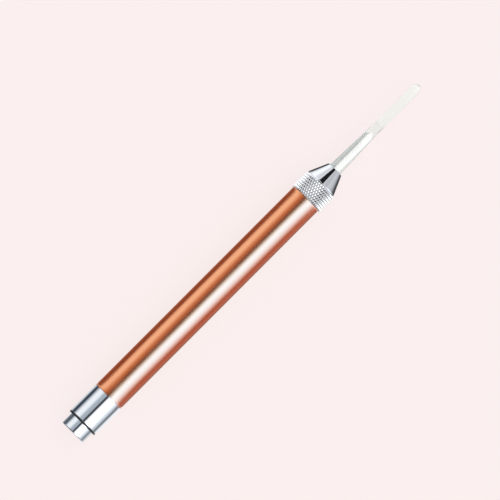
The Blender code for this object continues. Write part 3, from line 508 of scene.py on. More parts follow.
def knurled_chrome():
    """Chrome over the knurl, duller in the valleys and darkened there by painted shade."""
    material, tree, shader = new_material("knurled_chrome", KNURL_CHROME, 0.12, 1.0)
    where = tree.nodes.new("ShaderNodeTexCoord")
    from_axis = tree.nodes.new("ShaderNodeVectorMath")
    from_axis.operation = "SUBTRACT"
    from_axis.inputs[1].default_value = (0.0, 0.0, AXIS_HEIGHT)
    across = tree.nodes.new("ShaderNodeVectorMath")
    across.operation = "MULTIPLY"
    across.inputs[1].default_value = (0.0, 1.0, 1.0)
    radius = tree.nodes.new("ShaderNodeVectorMath")
    radius.operation = "LENGTH"
    depth = tree.nodes.new("ShaderNodeMapRange")
    depth.inputs["From Min"].default_value = KNURL_ROOT_RADIUS
    depth.inputs["From Max"].default_value = KNURL_ROOT_RADIUS + VALLEY_HEIGHT * KNURL_DEPTH
    tree.links.new(where.outputs["Object"], from_axis.inputs[0])
    tree.links.new(from_axis.outputs[0], across.inputs[0])
    tree.links.new(across.outputs[0], radius.inputs[0])
    tree.links.new(radius.outputs["Value"], depth.inputs["Value"])
    # Painted shade: the base colour darkens towards the valleys' floor.
    valley_painted_shade = tuple(VALLEY_SHADE * part for part in KNURL_CHROME)
    tree.links.new(mixed(tree, depth.outputs[0], valley_painted_shade, KNURL_CHROME), shader.inputs["Base Color"])
    roughened(tree, shader, depth.outputs[0], 0.4, 0.12)
    return material


collar_at = barrel_high.x + FIT
collar_front = collar_high.x
web_end = collar_front - COUNTERBORE_DEPTH
knurl_start = collar_at + COLLAR_CHAMFER
knurl_end = collar_front - COLLAR_LAND - COLLAR_CHAMFER
spigot = threaded_spigot(collar_at, collar_low.x)
spigot.reverse()
collar = turned_piece("chrome_knurled_collar", [
    (collar_low.x, COLLAR_BORE_RADIUS),
    *spigot,
    (collar_at, SPIGOT_RADIUS),
    (collar_at, KNURL_ROOT_RADIUS - COLLAR_CHAMFER),
    *knurl_outline(knurl_start, knurl_end),
    *with_rounded_corners([
        (collar_front - COLLAR_LAND - COLLAR_CHAMFER / 2, KNURL_ROOT_RADIUS, 0),
        (collar_front, KNURL_ROOT_RADIUS, COLLAR_CHAMFER),
        (collar_front, COUNTERBORE_RADIUS, 0),
        (web_end, COUNTERBORE_RADIUS, 0),
        (web_end, WEB_HOLE_RADIUS, 0),
        (web_end - WEB_THICKNESS, WEB_HOLE_RADIUS, 0),
        (web_end - WEB_THICKNESS, COLLAR_BORE_RADIUS, 0),
    ]),
], sides=KNURL_ROUND * KNURL_STEPS)
collar.data.materials.append(knurled_chrome())
collar.data.materials.append(chrome)
for face in collar.data.polygons:
    if not knurl_start < face.center.x < knurl_end:
        face.material_index = 1
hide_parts("knurled_collar")
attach(collar, "nose")


# Nose cone: turned brass, chrome plated and polished. Its skirt is pressed into the collar.
# Its shoulder inside holds the spoon's base, and its front edge is rounded where the stem comes out.
NOSE_LAND = 0.25 * MM
NOSE_EDGE = 0.12 * MM
NOSE_LIP = 0.48 * MM
NOSE_SHOULDER = 2.25 * MM
NOSE_BORE_RADIUS = 3.30 * MM
STEM_RADIUS = 2.03 * MM

cone_low, cone_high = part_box("nose_cone")
NOSE_BASE_RADIUS = (cone_high.z - cone_low.z) / 2
nose_at = collar_front + FIT
nose_exit_radius = STEM_RADIUS + 2 * FIT
nose_shoulder_at = nose_at + NOSE_SHOULDER
nose = turned_piece("chrome_nose_cone", with_rounded_corners([
    (cone_low.x, NOSE_BORE_RADIUS, 0),
    (cone_low.x, COUNTERBORE_RADIUS - FIT, 0),
    (nose_at, COUNTERBORE_RADIUS - FIT, 0),
    (nose_at, NOSE_BASE_RADIUS, NOSE_EDGE),
    (nose_at + NOSE_LAND, NOSE_BASE_RADIUS, NOSE_EDGE / 2),
    (cone_high.x, nose_exit_radius + NOSE_LIP, NOSE_EDGE),
    (cone_high.x, nose_exit_radius, NOSE_EDGE / 2),
    (nose_shoulder_at, nose_exit_radius, 0),
    (nose_shoulder_at, NOSE_BORE_RADIUS, 0),
]))
nose.data.materials.append(chrome)
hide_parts("nose_cone")
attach(nose, "nose")


# Ear spoon: one clear acrylic moulding that guides the lamp's light to its tip.
# A round base sits in the nose; the stem tapers, flattens to a blade and ends in a small scoop.
SPOON_POINTS = 72
ACRYLIC_TINT = (0.92, 1.0, 0.965)
BORE_WALL = (0.96, 0.96, 0.955)
# Painted light on the bore's wall: its bright and dim emission colours, and the side and span over
# which the bright one takes over.
BORE_PAINTED_LIGHT = (0.55, 0.55, 0.54)
BORE_PAINTED_LIGHT_DIM = (0.15, 0.15, 0.15)
PAINTED_LIGHT_SIDE = 60.0
PAINTED_LIGHT_START = -0.25
PAINTED_LIGHT_FULL = 0.30
STEM_END_RADIUS = 1.50 * MM
STEM_LENGTH = 14.70 * MM
LIGHT_BORE_RADIUS = 0.80 * MM
LIGHT_BORE_SETBACK = 0.20 * MM
DRILL_POINT = 1.60 * MM
DRILL_POINT_CURVE = 0.8
TIP_BASE_RADIUS = 3.20 * MM
TIP_SOCKET_RADIUS = 1.80 * MM
BLADE_WIDTH = 2.90 * MM
BLADE_THICKNESS = 1.10 * MM
BLADE_BLEND = 4.00 * MM
BLADE_SQUARENESS = 4.5
SCOOP_LENGTH = 6.20 * MM
SCOOP_DEPTH = 0.55 * MM
SCOOP_RIM = 0.30 * MM
SCOOP_RISE = 0.90 * MM
SCOOP_ENTRY = 0.25
SCOOP_LIP = 0.17
END_ROUND = 2.30 * MM
END_FLAT = 0.36
END_THICKNESS = 0.55

spoon_low, spoon_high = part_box("ear_spoon")
_, lamp_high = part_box("led_lamp")
exit_at = cone_high.x
blade_at = exit_at + STEM_LENGTH
socket_end = lamp_high.x + 0.20 * MM


def ease(share):
    """A smooth step from 0 to 1."""
    share = min(max(share, 0.0), 1.0)
    return share * share * (3 - 2 * share)


def spread(start, end, count):
    """So many evenly spaced values from the start, without the end."""
    return [start + (end - start) * i / count for i in range(count)]


def blade_ring(station):
    """One section of the blade: a squared ellipse with a hollow on top in the scoop."""
    along = station - blade_at
    flat = ease(along / BLADE_BLEND)
    half_width = STEM_END_RADIUS + (BLADE_WIDTH / 2 - STEM_END_RADIUS) * flat
    half_height = STEM_END_RADIUS + (BLADE_THICKNESS / 2 - STEM_END_RADIUS) * flat
    power = 2 / (2.0 + (BLADE_SQUARENESS - 2.0) * flat)
    to_end = max(spoon_high.x - station, 0.0)
    into_scoop = max(1 - to_end / SCOOP_LENGTH, 0.0)
    lift = SCOOP_RISE * into_scoop ** 2
    hollow = SCOOP_DEPTH * ease(into_scoop / SCOOP_ENTRY) * ease((1 - into_scoop) / SCOOP_LIP)
    if to_end < END_ROUND:
        rounding = math.sqrt(1 - (1 - to_end / END_ROUND) ** 2)
        half_width *= END_FLAT + (1 - END_FLAT) * rounding
        half_height *= END_THICKNESS + (1 - END_THICKNESS) * rounding
    inner = max(half_width - SCOOP_RIM, SCOOP_RIM)
    points = []
    for k in range(SPOON_POINTS):
        angle = 2 * math.pi * k / SPOON_POINTS
        side, up = math.cos(angle), math.sin(angle)
        across = half_width * math.copysign(abs(side) ** power, side)
        height = half_height * math.copysign(abs(up) ** power, up)
        if up > 0:
            height -= hollow * max(1 - (across / inner) ** 2, 0.0)
        points.append((station, across, AXIS_HEIGHT + height + lift))
    return points


def spoon_rings():
    """The spoon's rings from the bore's drilled point, back through the base and out to the tip."""
    point_at = blade_at - LIGHT_BORE_SETBACK + DRILL_POINT / 2
    base_end = nose_shoulder_at - FIT
    outline = [
        (point_at, 0.0),
        *[
            (point_at - DRILL_POINT * share, LIGHT_BORE_RADIUS * share ** DRILL_POINT_CURVE)
            for share in spread(0.1, 1.0, 9)
        ],
        (point_at - DRILL_POINT, LIGHT_BORE_RADIUS),
        (socket_end, LIGHT_BORE_RADIUS),
        (socket_end, TIP_SOCKET_RADIUS),
        (spoon_low.x, TIP_SOCKET_RADIUS),
        (spoon_low.x, TIP_BASE_RADIUS),
        (base_end, TIP_BASE_RADIUS),
        (base_end, STEM_RADIUS),
    ]
    for station in spread(exit_at, blade_at, 12):
        taper = (station - exit_at) / STEM_LENGTH
        outline.append((station, STEM_RADIUS + (STEM_END_RADIUS - STEM_RADIUS) * taper))
    rings = [ring_at(x, r, SPOON_POINTS) for x, r in outline]
    scoop_at = spoon_high.x - SCOOP_LENGTH
    stations = [
        *spread(blade_at, blade_at + BLADE_BLEND, 20),
        *spread(blade_at + BLADE_BLEND, scoop_at, 10),
        *spread(scoop_at, spoon_high.x - END_ROUND, 28),
    ]
    for angle in spread(0.0, math.pi / 2, 14):
        stations.append(spoon_high.x - END_ROUND * (1 - math.sin(angle)))
    stations.append(spoon_high.x)
    rings += [blade_ring(station) for station in stations]
    last = rings[-1]
    centre = [sum(point[i] for point in last) / len(last) for i in range(3)]
    rings.append([tuple(centre)])
    return rings


def clear_acrylic():
    material, tree, shader = new_material("clear_acrylic", ACRYLIC_TINT, 0.06)
    shader.inputs["Transmission Weight"].default_value = 1.0
    shader.inputs["IOR"].default_value = 1.49
    smudge = place_group(tree, SMUDGES, scale=260.0, cover=0.4)
    roughened(tree, shader, smudge.outputs[0], 0.03, 0.14)
    grain = place_group(tree, GRAIN, along=300.0, across=1500.0, detail=2.0)
    bumped(tree, shader, grain.outputs[0], 0.0003 * MM)
    return material


def frosted_bore_with_painted_light():
    """The drilled light bore's rough wall, which looks white through the clear stem.

    Its emission is painted light: the wall glows brightly on the side that faces one angle and dimly
    on the other.
    """
    material, tree, shader = new_material("frosted_bore_with_painted_light", BORE_WALL, 0.5)
    where = tree.nodes.new("ShaderNodeTexCoord")
    facing = tree.nodes.new("ShaderNodeVectorMath")
    facing.operation = "DOT_PRODUCT"
    turn = math.radians(PAINTED_LIGHT_SIDE)
    aside, above = -math.sin(turn) / LIGHT_BORE_RADIUS, math.cos(turn) / LIGHT_BORE_RADIUS
    facing.inputs[1].default_value = (0.0, aside, above)
    side = tree.nodes.new("ShaderNodeMapRange")
    side.interpolation_type = "SMOOTHSTEP"
    side.inputs["From Min"].default_value = AXIS_HEIGHT * above + PAINTED_LIGHT_START
    side.inputs["From Max"].default_value = AXIS_HEIGHT * above + PAINTED_LIGHT_FULL
    tree.links.new(where.outputs["Object"], facing.inputs[0])
    tree.links.new(facing.outputs["Value"], side.inputs["Value"])
    # Painted light: emission bright on one side of the bore and dim on the other.
    painted_bore_light = mixed(tree, side.outputs[0], BORE_PAINTED_LIGHT_DIM, BORE_PAINTED_LIGHT)
    tree.links.new(painted_bore_light, shader.inputs["Emission Color"])
    shader.inputs["Emission Strength"].default_value = 1.0
    grain = place_group(tree, GRAIN, along=4000.0, across=900.0)
    roughened(tree, shader, grain.outputs[0], 0.35, 0.65)
    return material


spoon = skin_over("clear_ear_spoon", spoon_rings())
spoon.data.materials.append(clear_acrylic())
spoon.data.materials.append(frosted_bore_with_painted_light())
bore_end = blade_at + LIGHT_BORE_SETBACK + DRILL_POINT
for face in spoon.data.polygons:
    centre = face.center
    off_axis = math.hypot(centre.y, centre.z - AXIS_HEIGHT)
    if socket_end < centre.x < bore_end and off_axis < 1.01 * LIGHT_BORE_RADIUS:
        face.material_index = 1
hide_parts("ear_spoon")
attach(spoon, "spoon")


# Seal rings and tip washer: moulded black rubber with a faint bloom.
# The rings lie in the spigots' grooves, and the washer holds the spoon's base against the nose.
RUBBER = (0.022, 0.022, 0.023)
RUBBER_BLOOM = (0.05, 0.05, 0.052)


def black_rubber():
    material, tree, shader = new_material("black_rubber", RUBBER, 0.6)
    smudge = place_group(tree, SMUDGES, scale=1200.0, cover=0.35)
    tree.links.new(mixed(tree, smudge.outputs[0], RUBBER, RUBBER_BLOOM), shader.inputs["Base Color"])
    roughened(tree, shader, smudge.outputs[0], 0.5, 0.75)
    grain = place_group(tree, GRAIN, along=6000.0, across=6000.0)
    bumped(tree, shader, grain.outputs[0], 0.004 * MM)
    return material


rubber = black_rubber()
for node, body in (("nose_seal_ring", "nose"), ("tail_seal_ring", "tail_rider")):
    seal_low, seal_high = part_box(node)
    middle = (seal_low.x + seal_high.x) / 2
    cord = [
        (
            middle + SEAL_CORD_RADIUS * math.cos(angle),
            SEAL_RADIUS + SEAL_CORD_RADIUS * math.sin(angle),
        )
        for angle in spread(0.0, 2 * math.pi, 20)
    ]
    seal = turned_piece(f"rubber_{node}", cord, sides=96)
    seal.data.materials.append(rubber)
    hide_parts(node)
    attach(seal, body)


def dress(node, material):
    """Gives a carried-over solid its material."""
    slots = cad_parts[node].data.materials
    slots.clear()
    slots.append(material)


dress("tip_washer", rubber)


# Battery sleeve, spacer, lamp holder and switch mouldings: white nylon with a faint flow pattern.
# They slide into the bore or into the tail cap's cavity and insulate what carries the current.
NYLON = (0.80, 0.795, 0.76)
NYLON_SHADE = (0.72, 0.71, 0.67)


def white_nylon():
    material, tree, shader = new_material("white_nylon", NYLON, 0.42)
    shader.inputs["Subsurface Weight"].default_value = 0.08
    shader.inputs["Subsurface Scale"].default_value = 0.5 * MM
    flow = place_group(tree, SMUDGES, scale=320.0, cover=0.3)
    grain = place_group(tree, GRAIN, along=2500.0, across=2500.0)
    tree.links.new(mixed(tree, flow.outputs[0], NYLON, NYLON_SHADE), shader.inputs["Base Color"])
    roughened(tree, shader, flow.outputs[0], 0.36, 0.52)
    bumped(tree, shader, grain.outputs[0], 0.003 * MM)
    return material


nylon = white_nylon()
for node in (
    "battery_sleeve", "spacer_tube", "led_holder", "switch_housing", "switch_cover",
    "plunger", "latch_rotor",
):
    dress(node, nylon)


# Contacts: turned and stamped brass, which carries the current from the cells to the lamp.
# The rod runs through the spacer, the disc closes it, and the switch holds the others.
BRASS = (0.78, 0.58, 0.27)
BRASS_TARNISH = (0.55, 0.37, 0.17)


def turned_brass():
    material, tree, shader = new_material("turned_brass", BRASS, 0.25, 1.0)
    marks = place_group(tree, GRAIN, along=7000.0, across=50.0)
    tarnish = place_group(tree, SMUDGES, scale=420.0, cover=0.45)
    tree.links.new(mixed(tree, tarnish.outputs[0], BRASS, BRASS_TARNISH), shader.inputs["Base Color"])
    roughened(tree, shader, tarnish.outputs[0], 0.2, 0.38)
    bumped(tree, shader, marks.outputs[0], 0.003 * MM)
    return material


brass = turned_brass()
for node in ("contact_rod", "centre_contact", "centre_terminal", "ground_contact", "contact_bridge"):
    dress(node, brass)


# Springs and lamp leads: bright drawn wire, coiled or bent to shape.
# The springs press the cells together and push the button back, so two of them give as they work.
WIRE = (0.62, 0.62, 0.64)
SPRING_WIRE_RADIUS = 0.20 * MM
SPRING_TURNS = 5
SPRING_END_FLATNESS = 0.3
COIL_STEPS = 32
WIRE_SIDES = 12


def coil_spring(name, start, end, radius):
    """A wound spring whose end turns lie closer together than its middle ones."""
    start, end = start + SPRING_WIRE_RADIUS, end - SPRING_WIRE_RADIUS
    count = SPRING_TURNS * COIL_STEPS
    directions = []
    places = []
    for i in range(count + 1):
        share = i / count
        turn = 2 * math.pi * SPRING_TURNS * share
        rise = share - SPRING_END_FLATNESS * math.sin(2 * math.pi * share) / (2 * math.pi)
        outward = Vector((0.0, math.sin(turn), -math.cos(turn)))
        middle = Vector((start + (end - start) * rise, 0.0, AXIS_HEIGHT))
        directions.append(outward)
        places.append(middle + outward * radius)
    rings = [[tuple(places[0])]]
    for i, (place, outward) in enumerate(zip(places, directions)):
        run = (places[min(i + 1, count)] - places[max(i - 1, 0)]).normalized()
        aside = run.cross(outward).normalized()
        rings.append([
            tuple(place + SPRING_WIRE_RADIUS * (math.cos(angle) * outward + math.sin(angle) * aside))
            for angle in spread(0.0, 2 * math.pi, WIRE_SIDES)
        ])
    rings.append([tuple(places[-1])])
    return skin_over(name, rings)


def drawn_wire():
    material, tree, shader = new_material("drawn_wire", WIRE, 0.22, 1.0)
    marks = place_group(tree, GRAIN, along=3000.0, across=3000.0)
    roughened(tree, shader, marks.outputs[0], 0.16, 0.3)
    shade = tuple(0.85 * part for part in WIRE)
    tree.links.new(mixed(tree, marks.outputs[0], WIRE, shade), shader.inputs["Base Color"])
    return material


steel_wire = drawn_wire()
for node, still, moving in (
    ("front_contact_spring", "barrel", None),
    ("battery_spring", "barrel", "tail_rider"),
    ("return_spring", "tail", "button"),
):
    spring_low, spring_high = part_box(node)
    coil_radius = AXIS_HEIGHT - spring_low.z - SPRING_WIRE_RADIUS
    spring = coil_spring(f"wound_{node}", spring_low.x, spring_high.x, coil_radius)
    spring.data.materials.append(steel_wire)
    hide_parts(node)
    if moving:
        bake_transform(spring)
    else:
        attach(spring, still)
for node in ("anode_lead", "cathode_lead"):
    dress(node, steel_wire)


# Button cells: nickel-plated steel cans, pressed, with a brushed face.
# Three of them stand in the sleeve, the narrower caps towards the tail.
CELL_STEEL = (0.68, 0.67, 0.65)
CELL_SHADE = (0.56, 0.55, 0.53)


def nickel_plate():
    material, tree, shader = new_material("nickel_plate", CELL_STEEL, 0.24, 1.0)
    scuffs = place_group(tree, SMUDGES, scale=500.0, cover=0.4)
    brushed = place_group(tree, GRAIN, along=400.0, across=5000.0)
    tree.links.new(mixed(tree, scuffs.outputs[0], CELL_STEEL, CELL_SHADE), shader.inputs["Base Color"])
    roughened(tree, shader, scuffs.outputs[0], 0.2, 0.35)
    bumped(tree, shader, brushed.outputs[0], 0.002 * MM)
    return material


nickel = nickel_plate()
for number in (1, 2, 3):
    dress(f"battery_cell_{number}", nickel)


# Lamp: a 3 mm light-emitting diode cast in clear epoxy, held in the lamp holder's pocket.
# Its round front end stands in the spoon's socket.
EPOXY = (0.94, 0.96, 0.98)


def lamp_epoxy():
    material, tree, shader = new_material("lamp_epoxy", EPOXY, 0.05)
    shader.inputs["Transmission Weight"].default_value = 0.9
    shader.inputs["IOR"].default_value = 1.53
    haze = place_group(tree, SMUDGES, scale=700.0, cover=0.4)
    roughened(tree, shader, haze.outputs[0], 0.03, 0.12)
    return material


dress("led_lamp", lamp_epoxy())


# Table: a plain pale surface, which reaches past every view and keeps the pen's soft shadow.
# Its own paleness shows through to the camera, the metal and the glass, so the shadow stays faint.
TABLE_SIZE = 12.0
PALE = (0.965, 0.871, 0.863)
SHADOW_SHARE = 0.12


def seen_directly(tree):
    """1 for rays from the camera, from gloss or through glass, else 0."""
    path = tree.nodes.new("ShaderNodeLightPath")
    seen = path.outputs["Is Camera Ray"]
    for name in ("Is Glossy Ray", "Is Transmission Ray"):
        either = tree.nodes.new("ShaderNodeMath")
        either.operation = "MAXIMUM"
        tree.links.new(seen, either.inputs[0])
        tree.links.new(path.outputs[name], either.inputs[1])
        seen = either.outputs[0]
    return seen


def pale_surface():
    material, tree, shader = new_material("pale_table", PALE, 0.9)
    shader.inputs["Specular IOR Level"].default_value = 0.0
    glow = tree.nodes.new("ShaderNodeEmission")
    glow.inputs["Color"].default_value = (*PALE, 1.0)
    share = tree.nodes.new("ShaderNodeMath")
    share.operation = "MULTIPLY"
    share.inputs[1].default_value = 1 - SHADOW_SHARE
    mix = tree.nodes.new("ShaderNodeMixShader")
    tree.links.new(seen_directly(tree), share.inputs[0])
    tree.links.new(share.outputs[0], mix.inputs[0])
    tree.links.new(shader.outputs[0], mix.inputs[1])
    tree.links.new(glow.outputs[0], mix.inputs[2])
    tree.links.new(mix.outputs[0], tree.nodes["Material Output"].inputs["Surface"])
    return material


def table_top():
    mesh = bpy.data.meshes.new("table")
    body = bmesh.new()
    bmesh.ops.create_grid(body, x_segments=1, y_segments=1, size=TABLE_SIZE / 2)
    body.to_mesh(mesh)
    body.free()
    table = bpy.data.objects.new("table", mesh)
    bpy.context.scene.collection.objects.link(table)
    mesh.materials.append(pale_surface())
    return table


table_top()


# Camera: almost straight above the pen with a long lens, a little towards the button's end.
# It is rolled so that the pen runs from the lower left to the upper right.
LENS = 380.0
SENSOR = 36.0
IMAGE_SIZE = 500
PIXELS_PER_METRE = 3440.0
PEN_MIDDLE_PIXEL = (246.0, 258.7)
PEN_SLOPE = 45.044
CAMERA_LEAN = 3.3


def photo_camera():
    data = bpy.data.cameras.new("photo_camera")
    data.lens = LENS
    data.sensor_width = SENSOR
    data.clip_end = 50.0
    camera = bpy.data.objects.new("photo_camera", data)
    bpy.context.scene.collection.objects.link(camera)
    bpy.context.scene.camera = camera
    slope = math.radians(PEN_SLOPE)
    lean = math.radians(CAMERA_LEAN)
    outward = Vector((-math.sin(lean), 0.0, math.cos(lean)))
    along = Vector((math.cos(lean), 0.0, math.sin(lean)))
    aside = Vector((0.0, 1.0, 0.0))
    right = along * math.cos(slope) - aside * math.sin(slope)
    up = along * math.sin(slope) + aside * math.cos(slope)
    shift_right = (IMAGE_SIZE / 2 - PEN_MIDDLE_PIXEL[0]) / PIXELS_PER_METRE
    shift_up = (PEN_MIDDLE_PIXEL[1] - IMAGE_SIZE / 2) / PIXELS_PER_METRE
    distance = IMAGE_SIZE / PIXELS_PER_METRE * LENS / SENSOR
    centre = Vector((0.0, 0.0, AXIS_HEIGHT)) + right * shift_right + up * shift_up
    camera.location = centre + outward * distance
    turn = [[right[i], up[i], outward[i]] for i in range(3)]
    camera.rotation_mode = "QUATERNION"
    camera.rotation_quaternion = Matrix(turn).to_quaternion()


photo_camera()


# Studio light: one wide soft lamp above the table and even light all round it.
# A light tent over the pen and mats beside it, which gloss alone mirrors, give the metal its streaks.
# Four small ones by the spoon are seen through clear plastic alone, and draw its lines.
LAMP_ANGLE = 16.0
LAMP_WIDTH = 75.0
LAMP_STRENGTH = 1.55
AMBIENT = 0.52
SKY = (0.97, 0.97, 0.985)
TENT_RADIUS = 0.15
TENT_REACH = 0.60
WALL_FOOT = 5.6 * MM
BY_BUTTON = (-0.088, -0.067)
BY_TAIL = (-0.067, -0.056)
BY_BARREL = (-0.056, 0.0257)
BY_COLLAR = (0.0257, 0.0312)
BY_NOSE = (0.0312, TENT_REACH)
BY_STEM = (0.036, 0.0512)
BY_BLADE = (0.0525, 0.0563)
STEM_SHADE = (0.0365, 0.0520)
STEM_SHADE_RADIUS = 0.012


def towards(angle):
    """Unit direction at an angle from straight up, positive towards -Y."""
    return Vector((0.0, -math.sin(math.radians(angle)), math.cos(math.radians(angle))))


def overhead_lamp():
    lamp = bpy.data.lights.new("overhead_lamp", "SUN")
    lamp.angle = math.radians(LAMP_WIDTH)
    lamp.energy = LAMP_STRENGTH
    item = bpy.data.objects.new("overhead_lamp", lamp)
    item.rotation_euler = towards(LAMP_ANGLE).to_track_quat("Z", "Y").to_euler()
    item.visible_glossy = False
    bpy.context.scene.collection.objects.link(item)


overhead_lamp()


def painted_glow():
    """A material that glows in the colour painted on a ribbon's points."""
    material = bpy.data.materials.new("painted_glow")
    material.use_nodes = True
    tree = material.node_tree
    tree.nodes.clear()
    painted = tree.nodes.new("ShaderNodeAttribute")
    painted.attribute_name = "glow"
    glow = tree.nodes.new("ShaderNodeEmission")
    out = tree.nodes.new("ShaderNodeOutputMaterial")
    tree.links.new(painted.outputs["Color"], glow.inputs["Color"])
    tree.links.new(glow.outputs[0], out.inputs["Surface"])
    return material


ribbon_paint = painted_glow()


def ribbon(name, rows, colours, through_glass=False):
    """A strip through rows of points, glowing in a colour at each of a row's points."""
    mesh = bpy.data.meshes.new(name)
    count = len(colours)
    faces = []
    for row in range(len(rows) - 1):
        for i in range(row * count, row * count + count - 1):
            faces.append((i, i + 1, count + i + 1, count + i))
    mesh.from_pydata([point for row in rows for point in row], [], faces)
    painted = mesh.color_attributes.new("glow", "FLOAT_COLOR", "POINT")
    for entry, colour in zip(painted.data, colours * len(rows)):
        entry.color = (*colour, 1.0)
    mesh.materials.append(ribbon_paint)
    strip = bpy.data.objects.new(name, mesh)
    strip.visible_camera = False
    strip.visible_diffuse = False
    strip.visible_shadow = False
    strip.visible_glossy = not through_glass
    strip.visible_transmission = through_glass
    bpy.context.scene.collection.objects.link(strip)


def grey(level, coolness=0.0):
    """A grey of that level, made cooler by a share."""
    return (level * (1 - coolness), level, level * (1 + coolness))


def tent(name, profile, stops, through_glass=False):
    """An arch over the pen: a profile of (station, radius), and stops of (angle, colour)."""
    rows = []
    for station, radius in profile:
        row = []
        for angle, _ in stops:
            place = towards(angle) * radius
            row.append((station, place.y, place.z + AXIS_HEIGHT if abs(angle) < 90 else 0.0))
        rows.append(row)
    ribbon(name, rows, [colour for _, colour in stops], through_glass)


def mat(name, ends, side, stops, through_glass=False):
    """A flat strip on the table beside the pen, from stops of (distance in mm, colour)."""
    rows = [[(end, side * away * MM, 0.1 * MM) for away, _ in stops] for end in ends]
    ribbon(name, rows, [colour for _, colour in stops], through_glass)


def partition(station):
    """A tent's end wall, which leans as the camera does: its foot by the pen and its top."""
    lean = TENT_RADIUS * math.tan(math.radians(CAMERA_LEAN))
    return [(station, WALL_FOOT), (station + lean, TENT_RADIUS)]


tail_wall = partition(barrel_low.x - 2 * FIT)
nose_wall = partition(barrel_high.x + 2 * FIT)
tent("tent_beyond_button", [(-TENT_REACH, TENT_RADIUS), (BY_BUTTON[0], TENT_RADIUS)], [
    (-90.0, grey(0.30)),
    (-60.0, grey(0.25)),
    (-25.0, grey(0.15)),
    (4.0, grey(0.12)),
    (14.0, grey(0.80)),
    (46.0, grey(0.90)),
    (64.0, grey(0.35)),
    (90.0, grey(0.30)),
])
tent("tent_over_tail", [(BY_BUTTON[0], TENT_RADIUS), *tail_wall[::-1]], [
    (-90.0, grey(0.38, 0.05)),
    (-82.0, grey(0.62, 0.03)),
    (-73.0, grey(1.00)),
    (-60.0, grey(1.08)),
    (-46.0, grey(1.04)),
    (-38.0, grey(0.80, 0.03)),
    (-30.0, grey(0.54, 0.08)),
    (-10.0, grey(0.47, 0.10)),
    (-7.5, grey(0.07, 0.10)),
    (3.0, grey(0.07, 0.10)),
    (6.0, grey(0.60)),
    (11.0, grey(1.10)),
    (18.0, grey(1.50)),
    (26.0, grey(3.60)),
    (48.0, grey(3.60)),
    (58.0, grey(1.50)),
    (70.0, grey(1.10, 0.02)),
    (80.0, grey(0.84, 0.04)),
    (90.0, grey(0.64, 0.03)),
])
copper_light = [
    (-90.0, (0.70, 0.60, 0.56)),
    (-80.0, (1.05, 1.00, 0.98)),
    (-58.0, (1.02, 1.04, 1.04)),
    (-46.0, (0.84, 0.66, 0.54)),
    (-36.0, (0.62, 0.34, 0.22)),
    (-22.0, (0.44, 0.21, 0.12)),
    (-10.0, (0.11, 0.06, 0.03)),
    (-3.0, (0.14, 0.12, 0.10)),
    (2.0, (0.42, 0.55, 0.66)),
    (14.0, (1.05, 1.95, 3.20)),
    (24.0, (1.15, 2.45, 4.40)),
    (44.0, (1.06, 2.12, 3.85)),
    (62.0, (0.93, 1.35, 2.12)),
    (76.0, (0.70, 0.62, 0.80)),
    (86.0, (0.44, 0.20, 0.18)),
    (90.0, (0.38, 0.15, 0.13)),
]
barrel_walls = [partition(barrel_low.x), partition(barrel_high.x)]
tent("tent_over_barrel", [wall[1] for wall in barrel_walls], copper_light)
for number, wall in enumerate(barrel_walls):
    tent(f"wall_by_barrel_{number}", wall, [
        (-90.0, (0.27, 0.10, 0.06)),
        (-85.0, (0.30, 0.13, 0.09)),
        *copper_light[1:],
    ])
tent("tent_over_nose", [nose_wall[1], (TENT_REACH, TENT_RADIUS)], [
    (-90.0, grey(1.20)),
    (-78.0, grey(1.15)),
    (-66.0, grey(0.88)),
    (-56.0, grey(0.78)),
    (-44.0, grey(0.82)),
    (-33.0, grey(0.84)),
    (-29.0, grey(0.015)),
    (11.0, grey(0.015)),
    (13.5, grey(0.66)),
    (22.0, grey(0.66)),
    (42.0, grey(0.57)),
    (66.0, grey(0.70)),
    (90.0, grey(0.64)),
])
tent("wall_behind_collar", nose_wall, [
    (-90.0, grey(1.20)),
    (-75.0, grey(2.00)),
    (-60.0, grey(2.30)),
    (-45.0, grey(2.20)),
    (-30.0, grey(1.15)),
    (0.0, grey(1.00)),
    (28.0, grey(1.25)),
    (42.0, grey(2.20)),
    (60.0, grey(2.80)),
    (75.0, grey(2.60)),
    (90.0, grey(1.50)),
])
mat("left_mat_by_button", BY_BUTTON, 1, [
    (5.0, grey(0.90)),
    (6.5, grey(0.70)),
    (8.5, grey(0.30, 0.08)),
    (14.0, grey(0.17, 0.10)),
    (26.0, grey(0.115, 0.15)),
    (75.0, grey(0.12, 0.15)),
    (150.0, grey(0.30, 0.10)),
])
mat("right_mat_by_button", BY_BUTTON, -1, [
    (5.0, grey(0.85)),
    (9.0, grey(0.80)),
    (12.0, grey(0.64)),
    (20.0, grey(0.30, 0.05)),
    (36.0, grey(0.30, 0.10)),
    (90.0, grey(0.50)),
    (150.0, grey(0.60)),
])
mat("left_mat_by_tail", BY_TAIL, 1, [
    (5.0, grey(0.90)),
    (10.0, grey(0.80)),
    (15.0, grey(0.50)),
    (18.0, grey(0.075, 0.30)),
    (75.0, grey(0.075, 0.30)),
    (150.0, grey(0.30, 0.10)),
])
mat("right_mat_by_tail", BY_TAIL, -1, [
    (5.0, grey(1.05)),
    (13.0, grey(1.00)),
    (18.0, grey(0.44)),
    (26.0, grey(0.24, 0.10)),
    (36.0, grey(0.24, 0.10)),
    (90.0, grey(0.48)),
    (150.0, grey(0.60)),
])
mat("left_mat_by_barrel", BY_BARREL, 1, [
    (5.0, (0.50, 0.29, 0.20)),
    (11.0, (0.34, 0.15, 0.10)),
    (14.0, (0.25, 0.09, 0.053)),
    (28.0, (0.29, 0.105, 0.06)),
    (60.0, (0.29, 0.11, 0.065)),
    (150.0, (0.68, 0.58, 0.50)),
])
mat("right_mat_by_barrel", BY_BARREL, -1, [
    (5.0, (0.30, 0.22, 0.20)),
    (12.0, (0.44, 0.26, 0.24)),
    (26.0, (0.54, 0.24, 0.20)),
    (60.0, (0.42, 0.14, 0.12)),
    (150.0, (0.40, 0.16, 0.15)),
])
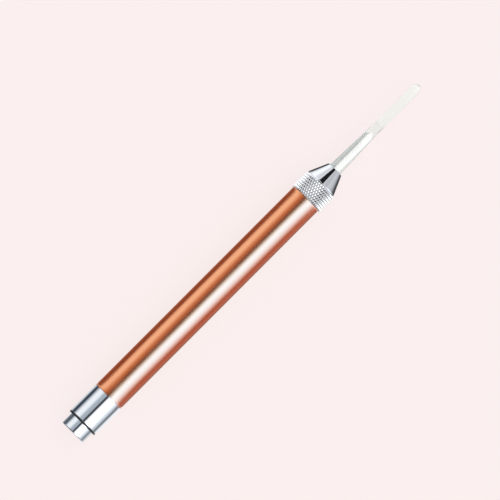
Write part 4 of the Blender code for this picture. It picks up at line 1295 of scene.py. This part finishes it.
for side in (1, -1):
    mat(f"mat_by_collar_{side}", BY_COLLAR, side, [
        (4.0, grey(0.38)),
        (10.0, grey(0.80)),
        (18.0, grey(1.30)),
        (30.0, grey(1.00)),
        (150.0, grey(1.20)),
    ])
mat("left_mat_by_nose", BY_NOSE, 1, [
    (3.0, grey(0.03)),
    (8.0, grey(0.03)),
    (11.0, grey(0.16)),
    (18.0, grey(1.05)),
    (45.0, grey(1.20)),
    (150.0, grey(1.20)),
])
mat("right_mat_by_nose", BY_NOSE, -1, [
    (4.0, grey(0.12)),
    (12.0, grey(0.06)),
    (19.0, grey(0.30)),
    (35.0, grey(0.52)),
    (150.0, grey(0.56)),
])
tent("shade_over_stem", [(end, STEM_SHADE_RADIUS) for end in STEM_SHADE], [
    (-90.0, grey(0.05)),
    (-45.0, grey(0.05)),
    (5.0, grey(0.05)),
    (20.0, grey(0.50)),
    (50.0, grey(0.60)),
    (90.0, grey(0.60)),
], through_glass=True)
mat("mat_right_of_stem", BY_STEM, -1, [
    (0.8, grey(0.44)),
    (1.8, grey(0.58)),
    (7.0, grey(0.66)),
], through_glass=True)
mat("mat_left_of_stem", BY_STEM, 1, [
    (3.0, grey(0.90)),
    (9.0, grey(0.90)),
], through_glass=True)
mat("mat_left_of_blade", BY_BLADE, 1, [
    (0.8, PALE),
    (1.9, grey(0.30)),
    (3.2, grey(0.30)),
    (4.6, PALE),
], through_glass=True)


def studio_world():
    """Dim light all round, seen as a pale backdrop by the camera, the metal and the glass."""
    world = bpy.data.worlds.new("studio")
    world.use_nodes = True
    bpy.context.scene.world = world
    tree = world.node_tree
    dim = tree.nodes["Background"]
    dim.inputs["Color"].default_value = (*SKY, 1.0)
    dim.inputs["Strength"].default_value = AMBIENT
    pale = tree.nodes.new("ShaderNodeBackground")
    pale.inputs["Color"].default_value = (*PALE, 1.0)
    shown = tree.nodes.new("ShaderNodeMixShader")
    tree.links.new(seen_directly(tree), shown.inputs[0])
    tree.links.new(dim.outputs[0], shown.inputs[1])
    tree.links.new(pale.outputs[0], shown.inputs[2])
    tree.links.new(shown.outputs[0], tree.nodes["World Output"].inputs["Surface"])


studio_world()


bpy.context.scene.view_settings.view_transform = "Standard"
